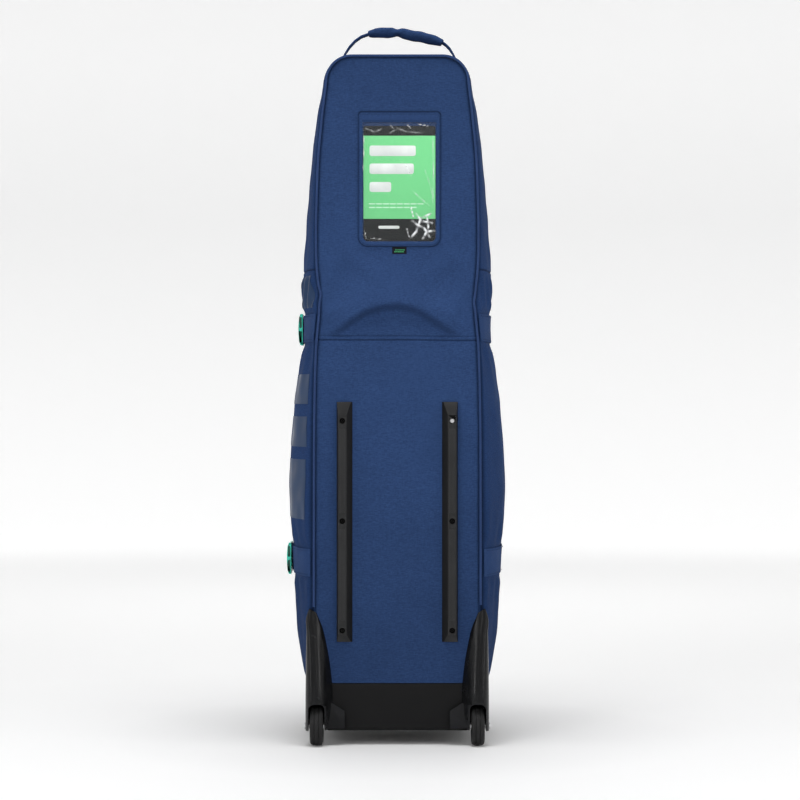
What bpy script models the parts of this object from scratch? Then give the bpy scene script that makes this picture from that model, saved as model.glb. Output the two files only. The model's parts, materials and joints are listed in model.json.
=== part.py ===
"""A wheeled travel bag for long sports equipment, standing upright on two wheels and two feet.

Metres, +Z up. The back panel, with its skid rails and wheels, faces -Y. The door faces +Y, and is hinged
on the +X side. While it is being built, Y counts from the back panel's outer face, and add_solid() then
moves everything by CENTRING, so that the origin is at the centre of the bounding box's bottom.
"""

import math

import bmesh
import bpy
from mathutils import Vector

# ---- driving dimensions -------------------------------------------------------------------------
WHEEL_R = 0.035
WHEEL_W = 0.024
WHEEL_X = 0.1455
AXLE_Y = 0.0
BASE_Z = 0.025  # underside of the moulded base
SEAM_Z = 0.112  # where the fabric meets the base
WAIST_Z = 0.733
HOOD_Z = 0.860  # seam between the side gussets and the hood's gusset
CORNER_Z = 1.200  # centres of the hood's rounded corners
CORNER_X = 0.083
CORNER_R = 0.049
TOP_Z = CORNER_Z + CORNER_R
HINGE_X = 0.2011
ZIP_Y = 0.180  # the door's zip and hinge line
SKIN = 0.005  # fabric, foam and lining together
GAP = 0.0003
DOOR_GAP = 0.0006
POCKET_FRONT_Y = 0.335
MAIN_POCKET_Y = POCKET_FRONT_Y - 0.004
HOOD_POCKET_Y = 0.288
CENTRING = Vector((0.0, (WHEEL_R - POCKET_FRONT_Y) / 2, 0.0))

# Half-widths and depth by height: (height, size)
BACK_SEAM = [(0.025, 0.153), (0.45, 0.153), (0.62, 0.152), (0.72, 0.149), (0.80, 0.143),
             (0.88, 0.149), (0.99, 0.148), (1.08, 0.144), (1.20, 0.131)]
BELLY = [(0.025, 0.163), (0.060, 0.169), (0.118, 0.171), (0.161, 0.179), (0.205, 0.1855),
         (0.25, 0.190), (0.30, 0.191), (0.36, 0.1945), (0.443, 0.2005), (0.53, 0.198), (0.617, 0.1905),
         (0.682, 0.181), (0.726, 0.173), (0.76, 0.1715), (0.834, 0.174), (0.90, 0.170),
         (0.986, 0.164), (1.073, 0.1565), (1.16, 0.1445), (1.20, 0.1365)]
DEPTH = [(0.025, 0.270), (0.112, 0.284), (0.25, 0.300), (0.60, 0.300), (0.76, 0.277), (0.90, 0.262),
         (1.20, 0.205)]
FRONT_FLARE = 0.004
BULGE_POWER = 0.7
TOP_FALL = 0.003
FRONT_DOME = 0.008

STRAP_LEVELS = {"upper": 0.755, "lower": 0.3295}
STRAP_W = 0.050
STRAP_T = 0.0020
STRAP_LIFT = 0.0006  # between the skin and a strap lying on it

# The skin's panels all bend at these heights and depths, so that pieces lying on them fit them.
SIDE_LEVELS = sorted(
    [z + d for z in STRAP_LEVELS.values() for d in (-STRAP_W / 2, 0.0, STRAP_W / 2)]
    + [0.165, 0.225, 0.270, 0.400, 0.465, 0.540, 0.610, 0.680, 0.820, HOOD_Z, 0.920, 0.990, 1.060, 1.130])
CORNER_ANGLES = (18, 36, 54, 72)
SHELL_SHARES = (0.0, 0.1, 0.3, 0.6, 1.0)
DOOR_SHARES = (0.0, 0.4, 0.75, 1.0)
PANEL_SHARES = (-1.0, -0.6, -0.2, 0.2, 0.6, 1.0)

FINISHES = {
    "navy_fabric": ((0.032, 0.065, 0.165), 0.85, 0.0),
    "navy_webbing": ((0.045, 0.085, 0.200), 0.80, 0.0),
    "black_plastic": ((0.018, 0.018, 0.020), 0.50, 0.0),
    "rubber": ((0.030, 0.030, 0.032), 0.70, 0.0),
    "green_plastic": ((0.020, 0.420, 0.280), 0.35, 0.0),
    "steel": ((0.450, 0.450, 0.450), 0.35, 1.0),
    "clear_film": ((0.900, 0.920, 0.950), 0.10, 0.0),
    "green_card": ((0.140, 0.600, 0.260), 0.60, 0.0),
    "black_fabric": ((0.012, 0.012, 0.013), 0.90, 0.0),
    "foam": ((0.080, 0.080, 0.085), 0.95, 0.0),
    "board": ((0.050, 0.050, 0.052), 0.55, 0.0),
}


# ---- scene and mesh helpers ---------------------------------------------------------------------
def clear_scene():
    for obj in list(bpy.data.objects):
        bpy.data.objects.remove(obj)


def finish(name):
    """The named Principled material, made once."""
    made = bpy.data.materials.get(name)
    if made:
        return made
    colour, roughness, metallic = FINISHES[name]
    made = bpy.data.materials.new(name)
    made.use_nodes = True
    shader = made.node_tree.nodes["Principled BSDF"]
    shader.inputs["Base Color"].default_value = (*colour, 1.0)
    shader.inputs["Roughness"].default_value = roughness
    shader.inputs["Metallic"].default_value = metallic
    return made


def add_body(name, pivot=(0, 0, 0), parent=None):
    """An empty on the body's joint axis. Its pieces are parented to it."""
    empty = bpy.data.objects.new(name + "_body", None)
    bpy.context.scene.collection.objects.link(empty)
    place = Vector(pivot) + CENTRING
    if parent:
        empty.parent = parent
        place -= Vector(parent["pivot"])
    empty.location = place
    empty["pivot"] = Vector(pivot) + CENTRING
    return empty


def add_solid(name, points, faces, material, body, smooth=False):
    """A closed mesh from points in the design's frame, with its faces turned outwards."""
    origin = Vector(body["pivot"]) - CENTRING
    mesh = bpy.data.meshes.new(name)
    mesh.from_pydata([Vector(p) - origin for p in points], [], faces)
    build = bmesh.new()
    build.from_mesh(mesh)
    bmesh.ops.recalc_face_normals(build, faces=build.faces)
    bmesh.ops.connect_verts_nonplanar(build, angle_limit=math.radians(0.1), faces=build.faces)
    build.to_mesh(mesh)
    build.free()
    if smooth:
        mesh.shade_smooth()
        mesh.set_sharp_from_angle(angle=math.radians(35))
    obj = bpy.data.objects.new(name, mesh)
    bpy.context.scene.collection.objects.link(obj)
    obj.parent = body
    if material:
        mesh.materials.append(finish(material))
    else:
        obj.hide_render = True
        obj.display_type = "WIRE"
    return obj


def boolean(target, operation, *tools):
    for tool in tools:
        cut = target.modifiers.new(tool.name, "BOOLEAN")
        cut.operation = operation
        cut.object = tool
        cut.solver = "EXACT"


def box_mesh(low, high):
    points = [(x, y, z) for x in (low[0], high[0]) for y in (low[1], high[1]) for z in (low[2], high[2])]
    return points, [(0, 1, 3, 2), (4, 6, 7, 5), (0, 4, 5, 1), (2, 3, 7, 6), (0, 2, 6, 4), (1, 5, 7, 3)]


def loft_mesh(rings):
    """A solid through closed rings of equally many points, with flat ends."""
    count = len(rings[0])
    points = [p for ring in rings for p in ring]
    faces = [tuple(range(count)), tuple(range(len(points) - count, len(points)))]
    for r in range(len(rings) - 1):
        for i in range(count):
            a, b = r * count + i, r * count + (i + 1) % count
            faces.append((a, b, b + count, a + count))
    return points, faces


def sheet_mesh(outer, inner):
    """A solid between two equal grids of points."""
    rows, columns = len(outer), len(outer[0])
    points = [p for grid in (outer, inner) for row in grid for p in row]

    def at(side, row, column):
        return (side * rows + row) * columns + column

    faces = []
    for r in range(rows - 1):
        for c in range(columns - 1):
            for side in (0, 1):
                faces.append((at(side, r, c), at(side, r, c + 1), at(side, r + 1, c + 1), at(side, r + 1, c)))
        for c in (0, columns - 1):
            faces.append((at(0, r, c), at(0, r + 1, c), at(1, r + 1, c), at(1, r, c)))
    for c in range(columns - 1):
        for r in (0, rows - 1):
            faces.append((at(0, r, c), at(0, r, c + 1), at(1, r, c + 1), at(1, r, c)))
    return points, faces


def lathe_x(profile, centre, steps=24):
    """A ring or disc turned about an axis along X. The profile is a closed list of (x, radius)."""
    rings = []
    for x, radius in profile:
        rings.append([(centre[0] + x, centre[1] + radius * math.sin(2 * math.pi * k / steps),
                       centre[2] + radius * math.cos(2 * math.pi * k / steps)) for k in range(steps)])
    points = [p for ring in rings for p in ring]
    faces = []
    for r in range(len(rings)):
        after = (r + 1) % len(rings)
        for k in range(steps):
            n = (k + 1) % steps
            faces.append((r * steps + k, r * steps + n, after * steps + n, after * steps + k))
    return points, faces


def rod_mesh(start, end, radius, steps=20):
    """A plain cylinder between two points."""
    start, end = Vector(start), Vector(end)
    turn = (end - start).to_track_quat("Z", "Y")
    rings = []
    for centre in (start, end):
        rings.append([centre + turn @ Vector((radius * math.cos(2 * math.pi * k / steps),
                                              radius * math.sin(2 * math.pi * k / steps), 0.0))
                      for k in range(steps)])
    return loft_mesh(rings)


def prism_mesh(outline, low, high, axis="y"):
    """An outline extruded along an axis: (x, z) points along y, or (x, y) points along z."""
    if axis == "y":
        return loft_mesh([[(x, level, z) for x, z in outline] for level in (low, high)])
    return loft_mesh([[(x, y, level) for x, y in outline] for level in (low, high)])


def along(keys, where):
    """A smooth value between (place, value) keys."""
    places = [k[0] for k in keys]
    where = min(max(where, places[0]), places[-1])
    i = max(k for k in range(len(keys) - 1) if places[k] <= where)

    def slope(k):
        low, high = max(k - 1, 0), min(k + 1, len(keys) - 1)
        return (keys[high][1] - keys[low][1]) / (keys[high][0] - keys[low][0])

    step = places[i + 1] - places[i]
    t = (where - places[i]) / step
    return ((2 * t**3 - 3 * t**2 + 1) * keys[i][1] + (t**3 - 2 * t**2 + t) * step * slope(i)
            + (3 * t**2 - 2 * t**3) * keys[i + 1][1] + (t**3 - t**2) * step * slope(i + 1))


def spline(route, count):
    """Equally many points along a smooth curve through a route's points."""
    keys = [Vector(p) for p in route]
    found = []
    for n in range(count):
        s = n * (len(keys) - 1) / (count - 1)
        i = min(int(s), len(keys) - 2)
        t = s - i
        before, after = keys[max(i - 1, 0)], keys[min(i + 2, len(keys) - 1)]
        a, b = keys[i], keys[i + 1]
        found.append(0.5 * ((2 * a) + (b - before) * t + (2 * before - 5 * a + 4 * b - after) * t**2
                            + (3 * a - before - 3 * b + after) * t**3))
    return found


# ---- the bag's outer form -----------------------------------------------------------------------
def side_x(z, y):
    """Outer half-width of the bag at height z, at depth y in front of the back panel."""
    t = min(max(y / along(DEPTH, z), 0.0), 1.0)
    seam = along(BACK_SEAM, z)
    bulge = along(BELLY, z) - seam - FRONT_FLARE / 2
    return seam + FRONT_FLARE * t + bulge * (4 * t * (1 - t)) ** BULGE_POWER


def front_y(z, share):
    """Outer face of the door at height z, share of the way from its middle to its edge."""
    return along(DEPTH, z) + FRONT_DOME * (1 - share**2)


def top_z(y):
    return TOP_Z - TOP_FALL * (y / along(DEPTH, CORNER_Z)) ** 2


class Station:
    """A place on the rim of the back panel: a height up a side, an angle round a corner, or an x on top."""

    def __init__(self, kind, value, side=-1):
        self.kind, self.value, self.side = kind, value, side

    def depth(self):
        return along(DEPTH, self.value if self.kind == "side" else CORNER_Z)

    def at(self, y, lift=0.0):
        """The point of the outer surface at depth y, lifted outwards."""
        if self.kind == "side":
            return (self.side * (side_x(self.value, y) + lift), y, self.value)
        if self.kind == "top":
            return (self.value, y, top_z(y) + lift)
        share = self.value / 90
        reach = (1 - share) * (side_x(CORNER_Z, y) - CORNER_X) + share * (top_z(y) - CORNER_Z) + lift
        angle = math.radians(self.value)
        return (self.side * (CORNER_X + reach * math.cos(angle)), y, CORNER_Z + reach * math.sin(angle))


def side_stations(low, high, side):
    between = [z for z in SIDE_LEVELS if low + 0.001 < z < high - 0.001]
    return [Station("side", z, side) for z in [low, *between, high]]


def rim(left_low, right_low):
    """Stations from a height on the left side, over the top, to a height on the right side."""
    found = side_stations(left_low, CORNER_Z, -1)
    found += [Station("corner", a, -1) for a in CORNER_ANGLES]
    found += [Station("top", x) for x in (-CORNER_X, 0.0, CORNER_X)]
    found += [Station("corner", a, 1) for a in reversed(CORNER_ANGLES)]
    return found + side_stations(right_low, CORNER_Z, 1)[::-1]


def shell_depths(_station):
    return [ZIP_Y * s for s in SHELL_SHARES]


def door_depths(station):
    low = ZIP_Y + DOOR_GAP
    return [low + (station.depth() - low) * s for s in DOOR_SHARES]


def gusset(name, stations, depths, body):
    """A strip of the bag's side skin."""
    outer = [[station.at(y) for y in depths(station)] for station in stations]
    inner = [[station.at(y, -SKIN) for y in depths(station)] for station in stations]
    return add_solid(name, *sheet_mesh(outer, inner), "navy_fabric", body, smooth=True)


def back_outline(low, high, inset):
    """The back panel's outline between two heights, as (x, z) points."""
    left = side_stations(low, high, -1)
    if high >= CORNER_Z:
        left += [Station("corner", a, -1) for a in CORNER_ANGLES] + [Station("corner", 90, -1)]
    points = [s.at(0.0, -inset) for s in left]
    return [(x, z) for x, _, z in points] + [(-x, z) for x, _, z in points[::-1]]


# ---- shell: back, sides, base -------------------------------------------------------------------
RAIL_INNER_X = 0.0810
RAIL_OUTER_X = 0.1095
RAIL_FLAT = (0.0914, 0.1070)
RAIL_Z = (0.187, 0.6205)
RAIL_H = 0.012
RAIL_SCREW_X = 0.0992
RAIL_SCREW_Z = (0.208, 0.4054, 0.5864)
SCREW_SHANK_R = 0.0021
BOARD_T = 0.003
BOARD_HALF_W = 0.135
BOARD_Z = (0.083, 0.700)


def screw_holes(name, y_low, y_high, radius, body):
    found = []
    for side in (-1, 1):
        for z in RAIL_SCREW_Z:
            x = side * RAIL_SCREW_X
            rod = rod_mesh((x, y_low, z), (x, y_high, z), radius, 10)
            found.append(add_solid(f"{name}_{side}_{z}", *rod, None, body))
    return found


def make_back(shell):
    inset = SKIN + GAP
    outline = back_outline(SEAM_Z + GAP, WAIST_Z - GAP, inset)
    lower = add_solid("back_panel_lower", *prism_mesh(outline, 0.0, SKIN), "navy_fabric", shell)
    outline = back_outline(WAIST_Z + GAP, CORNER_Z, inset)
    add_solid("back_panel_upper", *prism_mesh(outline, 0.0, SKIN), "navy_fabric", shell)
    low, high = (-BOARD_HALF_W, inset, BOARD_Z[0]), (BOARD_HALF_W, inset + BOARD_T, BOARD_Z[1])
    board = add_solid("stiffener_board", *box_mesh(low, high), "board", shell)
    holes = screw_holes("board_hole", -0.01, 0.02, SCREW_SHANK_R + GAP, shell)
    boolean(lower, "DIFFERENCE", *holes)
    boolean(board, "DIFFERENCE", *holes)
    for side, name in ((-1, "left"), (1, "right")):
        gusset(f"side_gusset_{name}", side_stations(SEAM_Z + GAP, HOOD_Z, side), shell_depths, shell)
    gusset("hood_gusset", rim(HOOD_Z + 2 * GAP, HOOD_Z + 2 * GAP), shell_depths, shell)


def make_piping(shell):
    """The corded edge round the back panel, above the wheel housings."""
    radius = 0.0022
    foot = HOUSING_TOP_Z + 0.003
    route = [s.at(-radius - GAP, -SKIN / 2) for s in rim(foot, foot)]
    curve = bpy.data.curves.new("back_piping", "CURVE")
    curve.dimensions = "3D"
    curve.bevel_depth = radius
    curve.bevel_resolution = 0
    curve.use_fill_caps = True
    line = curve.splines.new("POLY")
    line.points.add(len(route) - 1)
    for point, place in zip(line.points, route):
        point.co = (*(Vector(place) + CENTRING - Vector(shell["pivot"])), 1.0)
    curve.materials.append(finish("navy_webbing"))
    obj = bpy.data.objects.new("back_piping", curve)
    bpy.context.scene.collection.objects.link(obj)
    obj.parent = shell


def squircle(sides):
    """Points round a square with round corners, from -1 to 1 each way."""
    angles = [2 * math.pi * k / sides for k in range(sides)]
    return [tuple(math.copysign(abs(v) ** 0.5, v) for v in (math.cos(a), math.sin(a))) for a in angles]


def base_ring(z, inset):
    """The base's outline at a height: the bag's section with its corners rounded."""
    shares = (0.0, 0.06, 0.18, 0.35, 0.55, 0.75, 0.9)
    depth = along(DEPTH, SEAM_Z) - inset
    left = [(-(side_x(SEAM_Z, depth * s) - inset), depth * s) for s in shares]
    left = [(x, max(y, inset)) for x, y in left]
    half = side_x(SEAM_Z, depth) - inset
    left += [(-half + BASE_CORNER_R * (1 - math.cos(a)), depth - BASE_CORNER_R * (1 - math.sin(a)))
             for a in (math.radians(d) for d in (10, 35, 60, 90))]
    return [(x, y, z) for x, y in left] + [(-x, y, z) for x, y in left[::-1]]


WELL_X = (0.1270, 0.1700)
WELL_DEPTH = 0.0450
WELL_TOP_Z = 0.0800
BASE_CORNER_R = 0.016
BASE_WALL = 0.004
FOOT_X = 0.108
FOOT_Y = 0.235


def make_base(shell):
    top = SEAM_Z - GAP
    wall = BASE_WALL
    outer = [base_ring(BASE_Z, 0.012), base_ring(BASE_Z + 0.006, 0.004), base_ring(0.06, 0.001),
             base_ring(top, 0.0)]
    inner = [base_ring(top, wall), base_ring(0.06, wall + 0.001),
             base_ring(BASE_Z + wall + 0.003, wall + 0.004), base_ring(BASE_Z + wall, wall + 0.010)]
    base = add_solid("base_tray", *loft_mesh(outer + inner), "black_plastic", shell)
    notches = []
    for side in (-1, 1):
        low, high = sorted((side * WELL_X[0], side * WELL_X[1]))
        notch = box_mesh((low, -0.02, 0.0), (high, WELL_DEPTH, WELL_TOP_Z))
        notches.append(add_solid(f"well_notch_{side}", *notch, None, shell))
    boolean(base, "DIFFERENCE", *notches)
    for side, name in ((-1, "left"), (1, "right")):
        rings = []
        for z, half_x, half_y in ((0.0, 0.019, 0.013), (0.005, 0.022, 0.016), (BASE_Z - GAP, 0.024, 0.018)):
            rings.append([(side * FOOT_X + half_x * x, FOOT_Y + half_y * y, z) for x, y in squircle(16)])
        add_solid(f"front_foot_{name}", *loft_mesh(rings), "rubber", shell)
    pad = [(-0.095, 1.200), (-0.080, 1.238), (0.080, 1.238), (0.095, 1.200)]
    add_solid("hood_pad", *prism_mesh(pad, SKIN + 0.001, ZIP_Y - 0.012), "foam", shell)


# ---- skid rails ---------------------------------------------------------------------------------
def rail_ring(side, z, height):
    """A rail's section at a height: a flat ridge nearer to the outer edge, with sloping flanks."""
    grow = height / RAIL_H
    outer = RAIL_OUTER_X + (RAIL_FLAT[1] - RAIL_OUTER_X) * grow
    inner = RAIL_INNER_X + (RAIL_FLAT[0] - RAIL_INNER_X) * grow
    face = -GAP - height
    section = [(RAIL_OUTER_X, -GAP), (outer, face), (inner, face), (RAIL_INNER_X, -GAP)]
    return [(side * x, y, z) for x, y in section]


def make_rails(shell):
    head_r, sink, end_h = 0.0046, 0.0045, 0.003
    front = 0.0020  # how far behind the rail's face each screw head starts
    for side, name in ((-1, "left"), (1, "right")):
        low, high = RAIL_Z
        rings = [rail_ring(side, low, end_h), rail_ring(side, low + 0.014, RAIL_H),
                 rail_ring(side, high - 0.024, RAIL_H), rail_ring(side, high, end_h)]
        rail = add_solid(f"skid_rail_{name}", *loft_mesh(rings), "black_plastic", shell)
        face = -GAP - RAIL_H
        for number, z in enumerate(RAIL_SCREW_Z, 1):
            x = side * RAIL_SCREW_X
            bore = rod_mesh((x, -0.05, z), (x, 0.01, z), SCREW_SHANK_R + GAP, 10)
            bore = add_solid(f"bore_{name}_{number}", *bore, None, shell)
            sinker = rod_mesh((x, -0.05, z), (x, face + sink, z), head_r + 2 * GAP, 16)
            sinker = add_solid(f"sink_{name}_{number}", *sinker, None, shell)
            boolean(rail, "DIFFERENCE", sinker, bore)
            head = [(face + front, head_r * 0.75), (face + front + 0.0004, head_r), (face + sink - GAP, head_r),
                    (face + sink - GAP, SCREW_SHANK_R), (SKIN + BOARD_T + 0.004, SCREW_SHANK_R)]
            rings = [[(x + r * math.cos(2 * math.pi * k / 10), y, z + r * math.sin(2 * math.pi * k / 10))
                      for k in range(10)] for y, r in head]
            add_solid(f"rail_screw_{name}_{number}", *loft_mesh(rings), "black_plastic", shell)


# ---- label pocket -------------------------------------------------------------------------------
LABEL_X = 0.004
LABEL_W = 0.150
LABEL_Z = (0.901, 1.1465)
WINDOW_W = 0.134
WINDOW_Z = (0.9095, 1.126)
CARD_HALF_W = 0.065
CARD_H = 0.210
TAB_HALF_W = 0.013
TAB_H = 0.013


def rounded_outline(half, low, high, radius, top_radius):
    """A rectangle with rounded corners, as (x, z) points round LABEL_X."""
    points = []
    corners = ((half, low, radius, -90), (half, high, top_radius, 0), (-half, high, top_radius, 90),
               (-half, low, radius, 180))
    for cx, cz, r, start in corners:
        centre = (cx - math.copysign(r, cx), cz + (r if cz == low else -r))
        for k in range(5):
            a = math.radians(start + 22.5 * k)
            points.append((LABEL_X + centre[0] + r * math.cos(a), centre[1] + r * math.sin(a)))
    return points


def make_label(shell):
    outline = rounded_outline(LABEL_W / 2, *LABEL_Z, 0.018, 0.003)
    frame = add_solid("label_frame", *prism_mesh(outline, -0.0022, -GAP), "navy_fabric", shell)
    outline = rounded_outline(WINDOW_W / 2, *WINDOW_Z, 0.008, 0.003)
    opening = add_solid("label_opening", *prism_mesh(outline, -0.01, 0.01), None, shell)
    boolean(frame, "DIFFERENCE", opening)
    film = rounded_outline(WINDOW_W / 2 - GAP, WINDOW_Z[0] + GAP, WINDOW_Z[1] - GAP, 0.0077, 0.0027)
    add_solid("label_window", *prism_mesh(film, -0.0018, -0.0013), "clear_film", shell)
    card = rounded_outline(CARD_HALF_W, WINDOW_Z[0] + 0.002, WINDOW_Z[0] + CARD_H, 0.0065, 0.001)
    add_solid("label_card", *prism_mesh(card, -0.0009, -GAP), "green_card", shell)
    low = (LABEL_X - TAB_HALF_W, -0.0011, LABEL_Z[0] - TAB_H)
    high = (LABEL_X + TAB_HALF_W, -GAP, LABEL_Z[0] - GAP)
    add_solid("label_tab", *box_mesh(low, high), "black_fabric", shell)


# ---- wheels and their housings ------------------------------------------------------------------
HOUSING_TOP_Z = 0.247
CHEEK_OUT = 0.1655
HOUSING_LEVELS = [  # height, inner edge, outer edge, how far it stands out behind the back panel
    (0.0275, 0.1270, 0.1655, 0.022),
    (0.0400, 0.1220, 0.1655, 0.030),
    (0.0766, 0.1170, 0.1655, 0.033),
    (0.1376, 0.1204, 0.1650, 0.028),
    (0.2020, 0.1320, 0.1640, 0.015),
    (0.2350, 0.1400, 0.1635, 0.007),
    (HOUSING_TOP_Z, 0.1460, 0.1590, 0.003),
]
WHEEL_ROOM = 0.0025  # beside the wheel, each way
WHEEL_ROOM_TOP_Z = 0.0766
FLANGE_OUTLINE = [(0.132, 0.031), (0.095, 0.031), (0.095, 0.0628), (0.1167, WHEEL_ROOM_TOP_Z),
                  (0.132, WHEEL_ROOM_TOP_Z)]
AXLE_R = 0.0040
BEARING_R = 0.0110
RACE_HALF_W = 0.0029
HUB_R = 0.0225


def housing_ring(side, z, inner, outer, reach):
    width = outer - inner
    section = [(outer, -GAP), (outer, -0.5 * reach), (outer - 0.16 * width, -0.88 * reach),
               (outer - 0.35 * width, -reach), (outer - 0.55 * width, -0.86 * reach),
               (inner + 0.08 * width, -0.25 * reach), (inner, -GAP)]
    return [(side * x, y, z) for x, y in section]


def make_housing(side, name, shell):
    rings = [housing_ring(side, *level) for level in HOUSING_LEVELS]
    housing = add_solid(f"wheel_housing_{name}", *loft_mesh(rings), "black_plastic", shell)
    low, high = sorted((side * (WELL_X[0] + 2 * GAP), side * CHEEK_OUT))
    block = box_mesh((low, -0.004, HOUSING_LEVELS[0][0]), (high, WELL_DEPTH - GAP, WELL_TOP_Z - GAP))
    block = add_solid(f"well_block_{name}", *block, None, shell)
    flange = prism_mesh([(side * x, z) for x, z in FLANGE_OUTLINE], -0.006, -1.5 * GAP)
    plate = add_solid(f"flange_{name}", *flange, None, shell)
    half = WHEEL_W / 2 + WHEEL_ROOM
    low, high = side * WHEEL_X - half, side * WHEEL_X + half
    cavity = box_mesh((low, -0.08, -0.01), (high, WHEEL_R + 0.0055, WHEEL_ROOM_TOP_Z))
    cavity = add_solid(f"wheel_room_{name}", *cavity, None, shell)
    bore = rod_mesh((side * 0.1279, AXLE_Y, WHEEL_R), (side * 0.19, AXLE_Y, WHEEL_R), AXLE_R + 0.0004, 16)
    bore = add_solid(f"axle_bore_{name}", *bore, None, shell)
    boolean(housing, "UNION", block, plate)
    boolean(housing, "DIFFERENCE", cavity, bore)


def make_wheel(side, name, body, shell):
    centre = (side * WHEEL_X, AXLE_Y, WHEEL_R)
    half, lip = WHEEL_W / 2, 0.002
    crown = [(half * math.cos(a), HUB_R + lip + (WHEEL_R - HUB_R - lip) * math.sin(a))
             for a in (math.pi * k / 6 for k in range(7))]
    tyre = [(half - lip, HUB_R)] + crown + [(-half + lip, HUB_R)]
    add_solid(f"tyre_{name}", *lathe_x(tyre, centre, 24), "rubber", body, smooth=True)
    rim_top, seat = HUB_R - GAP, BEARING_R + GAP
    edge, web, stop = half - 0.001, half - 0.006, 0.0045
    hub = [(-edge, rim_top), (edge, rim_top), (web, rim_top - 0.004), (web, seat + 0.0025),
           (edge, seat + 0.0018), (edge, seat), (stop, seat), (stop, 0.0075), (-stop, 0.0075),
           (-stop, seat), (-edge, seat), (-edge, seat + 0.0018), (-web, seat + 0.0025),
           (-web, rim_top - 0.004)]
    add_solid(f"hub_{name}", *lathe_x(hub, centre, 16), "black_plastic", body, smooth=True)
    for end, where in ((1, "outer"), (-1, "inner")):
        middle = (centre[0] + side * end * (half - 0.0045), centre[1], centre[2])
        race = [(x, r) for r in (BEARING_R, AXLE_R + 0.0004) for x in (-RACE_HALF_W, RACE_HALF_W)]
        race[2:] = race[:1:-1]
        add_solid(f"bearing_{where}_{name}", *lathe_x(race, middle, 16), "steel", body, smooth=True)
    axle = [(-0.0172, AXLE_R), (-0.0142, AXLE_R), (-0.0142, 0.0062), (-0.0108, 0.0062),
            (-0.0108, AXLE_R), (0.0204, AXLE_R), (0.0204, 0.0066), (0.0225, 0.0055)]
    rings = [[(centre[0] + side * x, centre[1] + r * math.cos(2 * math.pi * k / 16),
               centre[2] + r * math.sin(2 * math.pi * k / 16)) for k in range(16)] for x, r in axle]
    add_solid(f"axle_{name}", *loft_mesh(rings), "steel", shell, smooth=True)


# ---- straps and buckles -------------------------------------------------------------------------
BUCKLE_HALF_H = 0.029
BUCKLE_T = 0.0080
SOCKET_Y = (ZIP_Y - 0.052, ZIP_Y + 0.0025)
PLUG_Y = (ZIP_Y + 0.0035, ZIP_Y + 0.030)
BUCKLE_FACE = STRAP_LIFT + STRAP_T + GAP  # from the skin out to the buckle's underside


def strap_mesh(rings):
    """A strap from rings of three or more heights: each ring holds its inner and then its outer points."""
    return loft_mesh([inner + outer[::-1] for inner, outer in rings])


def strap_heights(z):
    return [z - STRAP_W / 2, z, z + STRAP_W / 2]


def ring_on_side(z, side, depths):
    """One ring of a strap lying on the side skin, at a depth for each of its heights."""
    stations = [Station("side", height, side) for height in strap_heights(z)]
    return [[s.at(y, d) for s, y in zip(stations, depths)] for d in (STRAP_LIFT, STRAP_LIFT + STRAP_T)]


def ring_on_panel(z, share):
    """One ring of a strap lying on the door's front panel."""
    found = []
    for d in (STRAP_LIFT, STRAP_LIFT + STRAP_T):
        points = []
        for height in strap_heights(z):
            half = side_x(height, along(DEPTH, height)) - SKIN - GAP
            points.append((share * half, front_y(height, share) + d, height))
        found.append(points)
    return found


def ring_on_corner(z, side):
    """One ring of a strap turning the door's front edge."""
    corners = [(side_x(h, along(DEPTH, h)), along(DEPTH, h), h) for h in strap_heights(z)]
    return [[(side * (x + d), y + d, h) for x, y, h in corners] for d in (STRAP_LIFT, STRAP_LIFT + STRAP_T)]


def buckle_x(z):
    """How far out the skin reaches under a buckle."""
    heights = [z + BUCKLE_HALF_H * a for a in (-1, -0.5, 0, 0.5, 1)]
    return max(side_x(height, ZIP_Y * b) for height in heights for b in (0.75, 0.85, 1.0))


def buckle_section(z, half):
    """A buckle's section as (x, z) points: flat underneath and arched outside."""
    foot = buckle_x(z) + BUCKLE_FACE
    arch = [(0.0, 1.0), (0.55, 1.0), (0.85, 0.88), (1.0, 0.62), (1.0, 0.38), (0.85, 0.12), (0.55, 0.0),
            (0.0, 0.0)]
    return [(-(foot + BUCKLE_T * out), z + half * (2 * up - 1)) for out, up in arch]


def buckle_box(name, z, out, heights, depths, body):
    foot = buckle_x(z) + BUCKLE_FACE
    low = (-(foot + out[1]), depths[0], z + heights[0])
    high = (-(foot + out[0]), depths[1], z + heights[1])
    return add_solid(name, *box_mesh(low, high), None, body)


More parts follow.
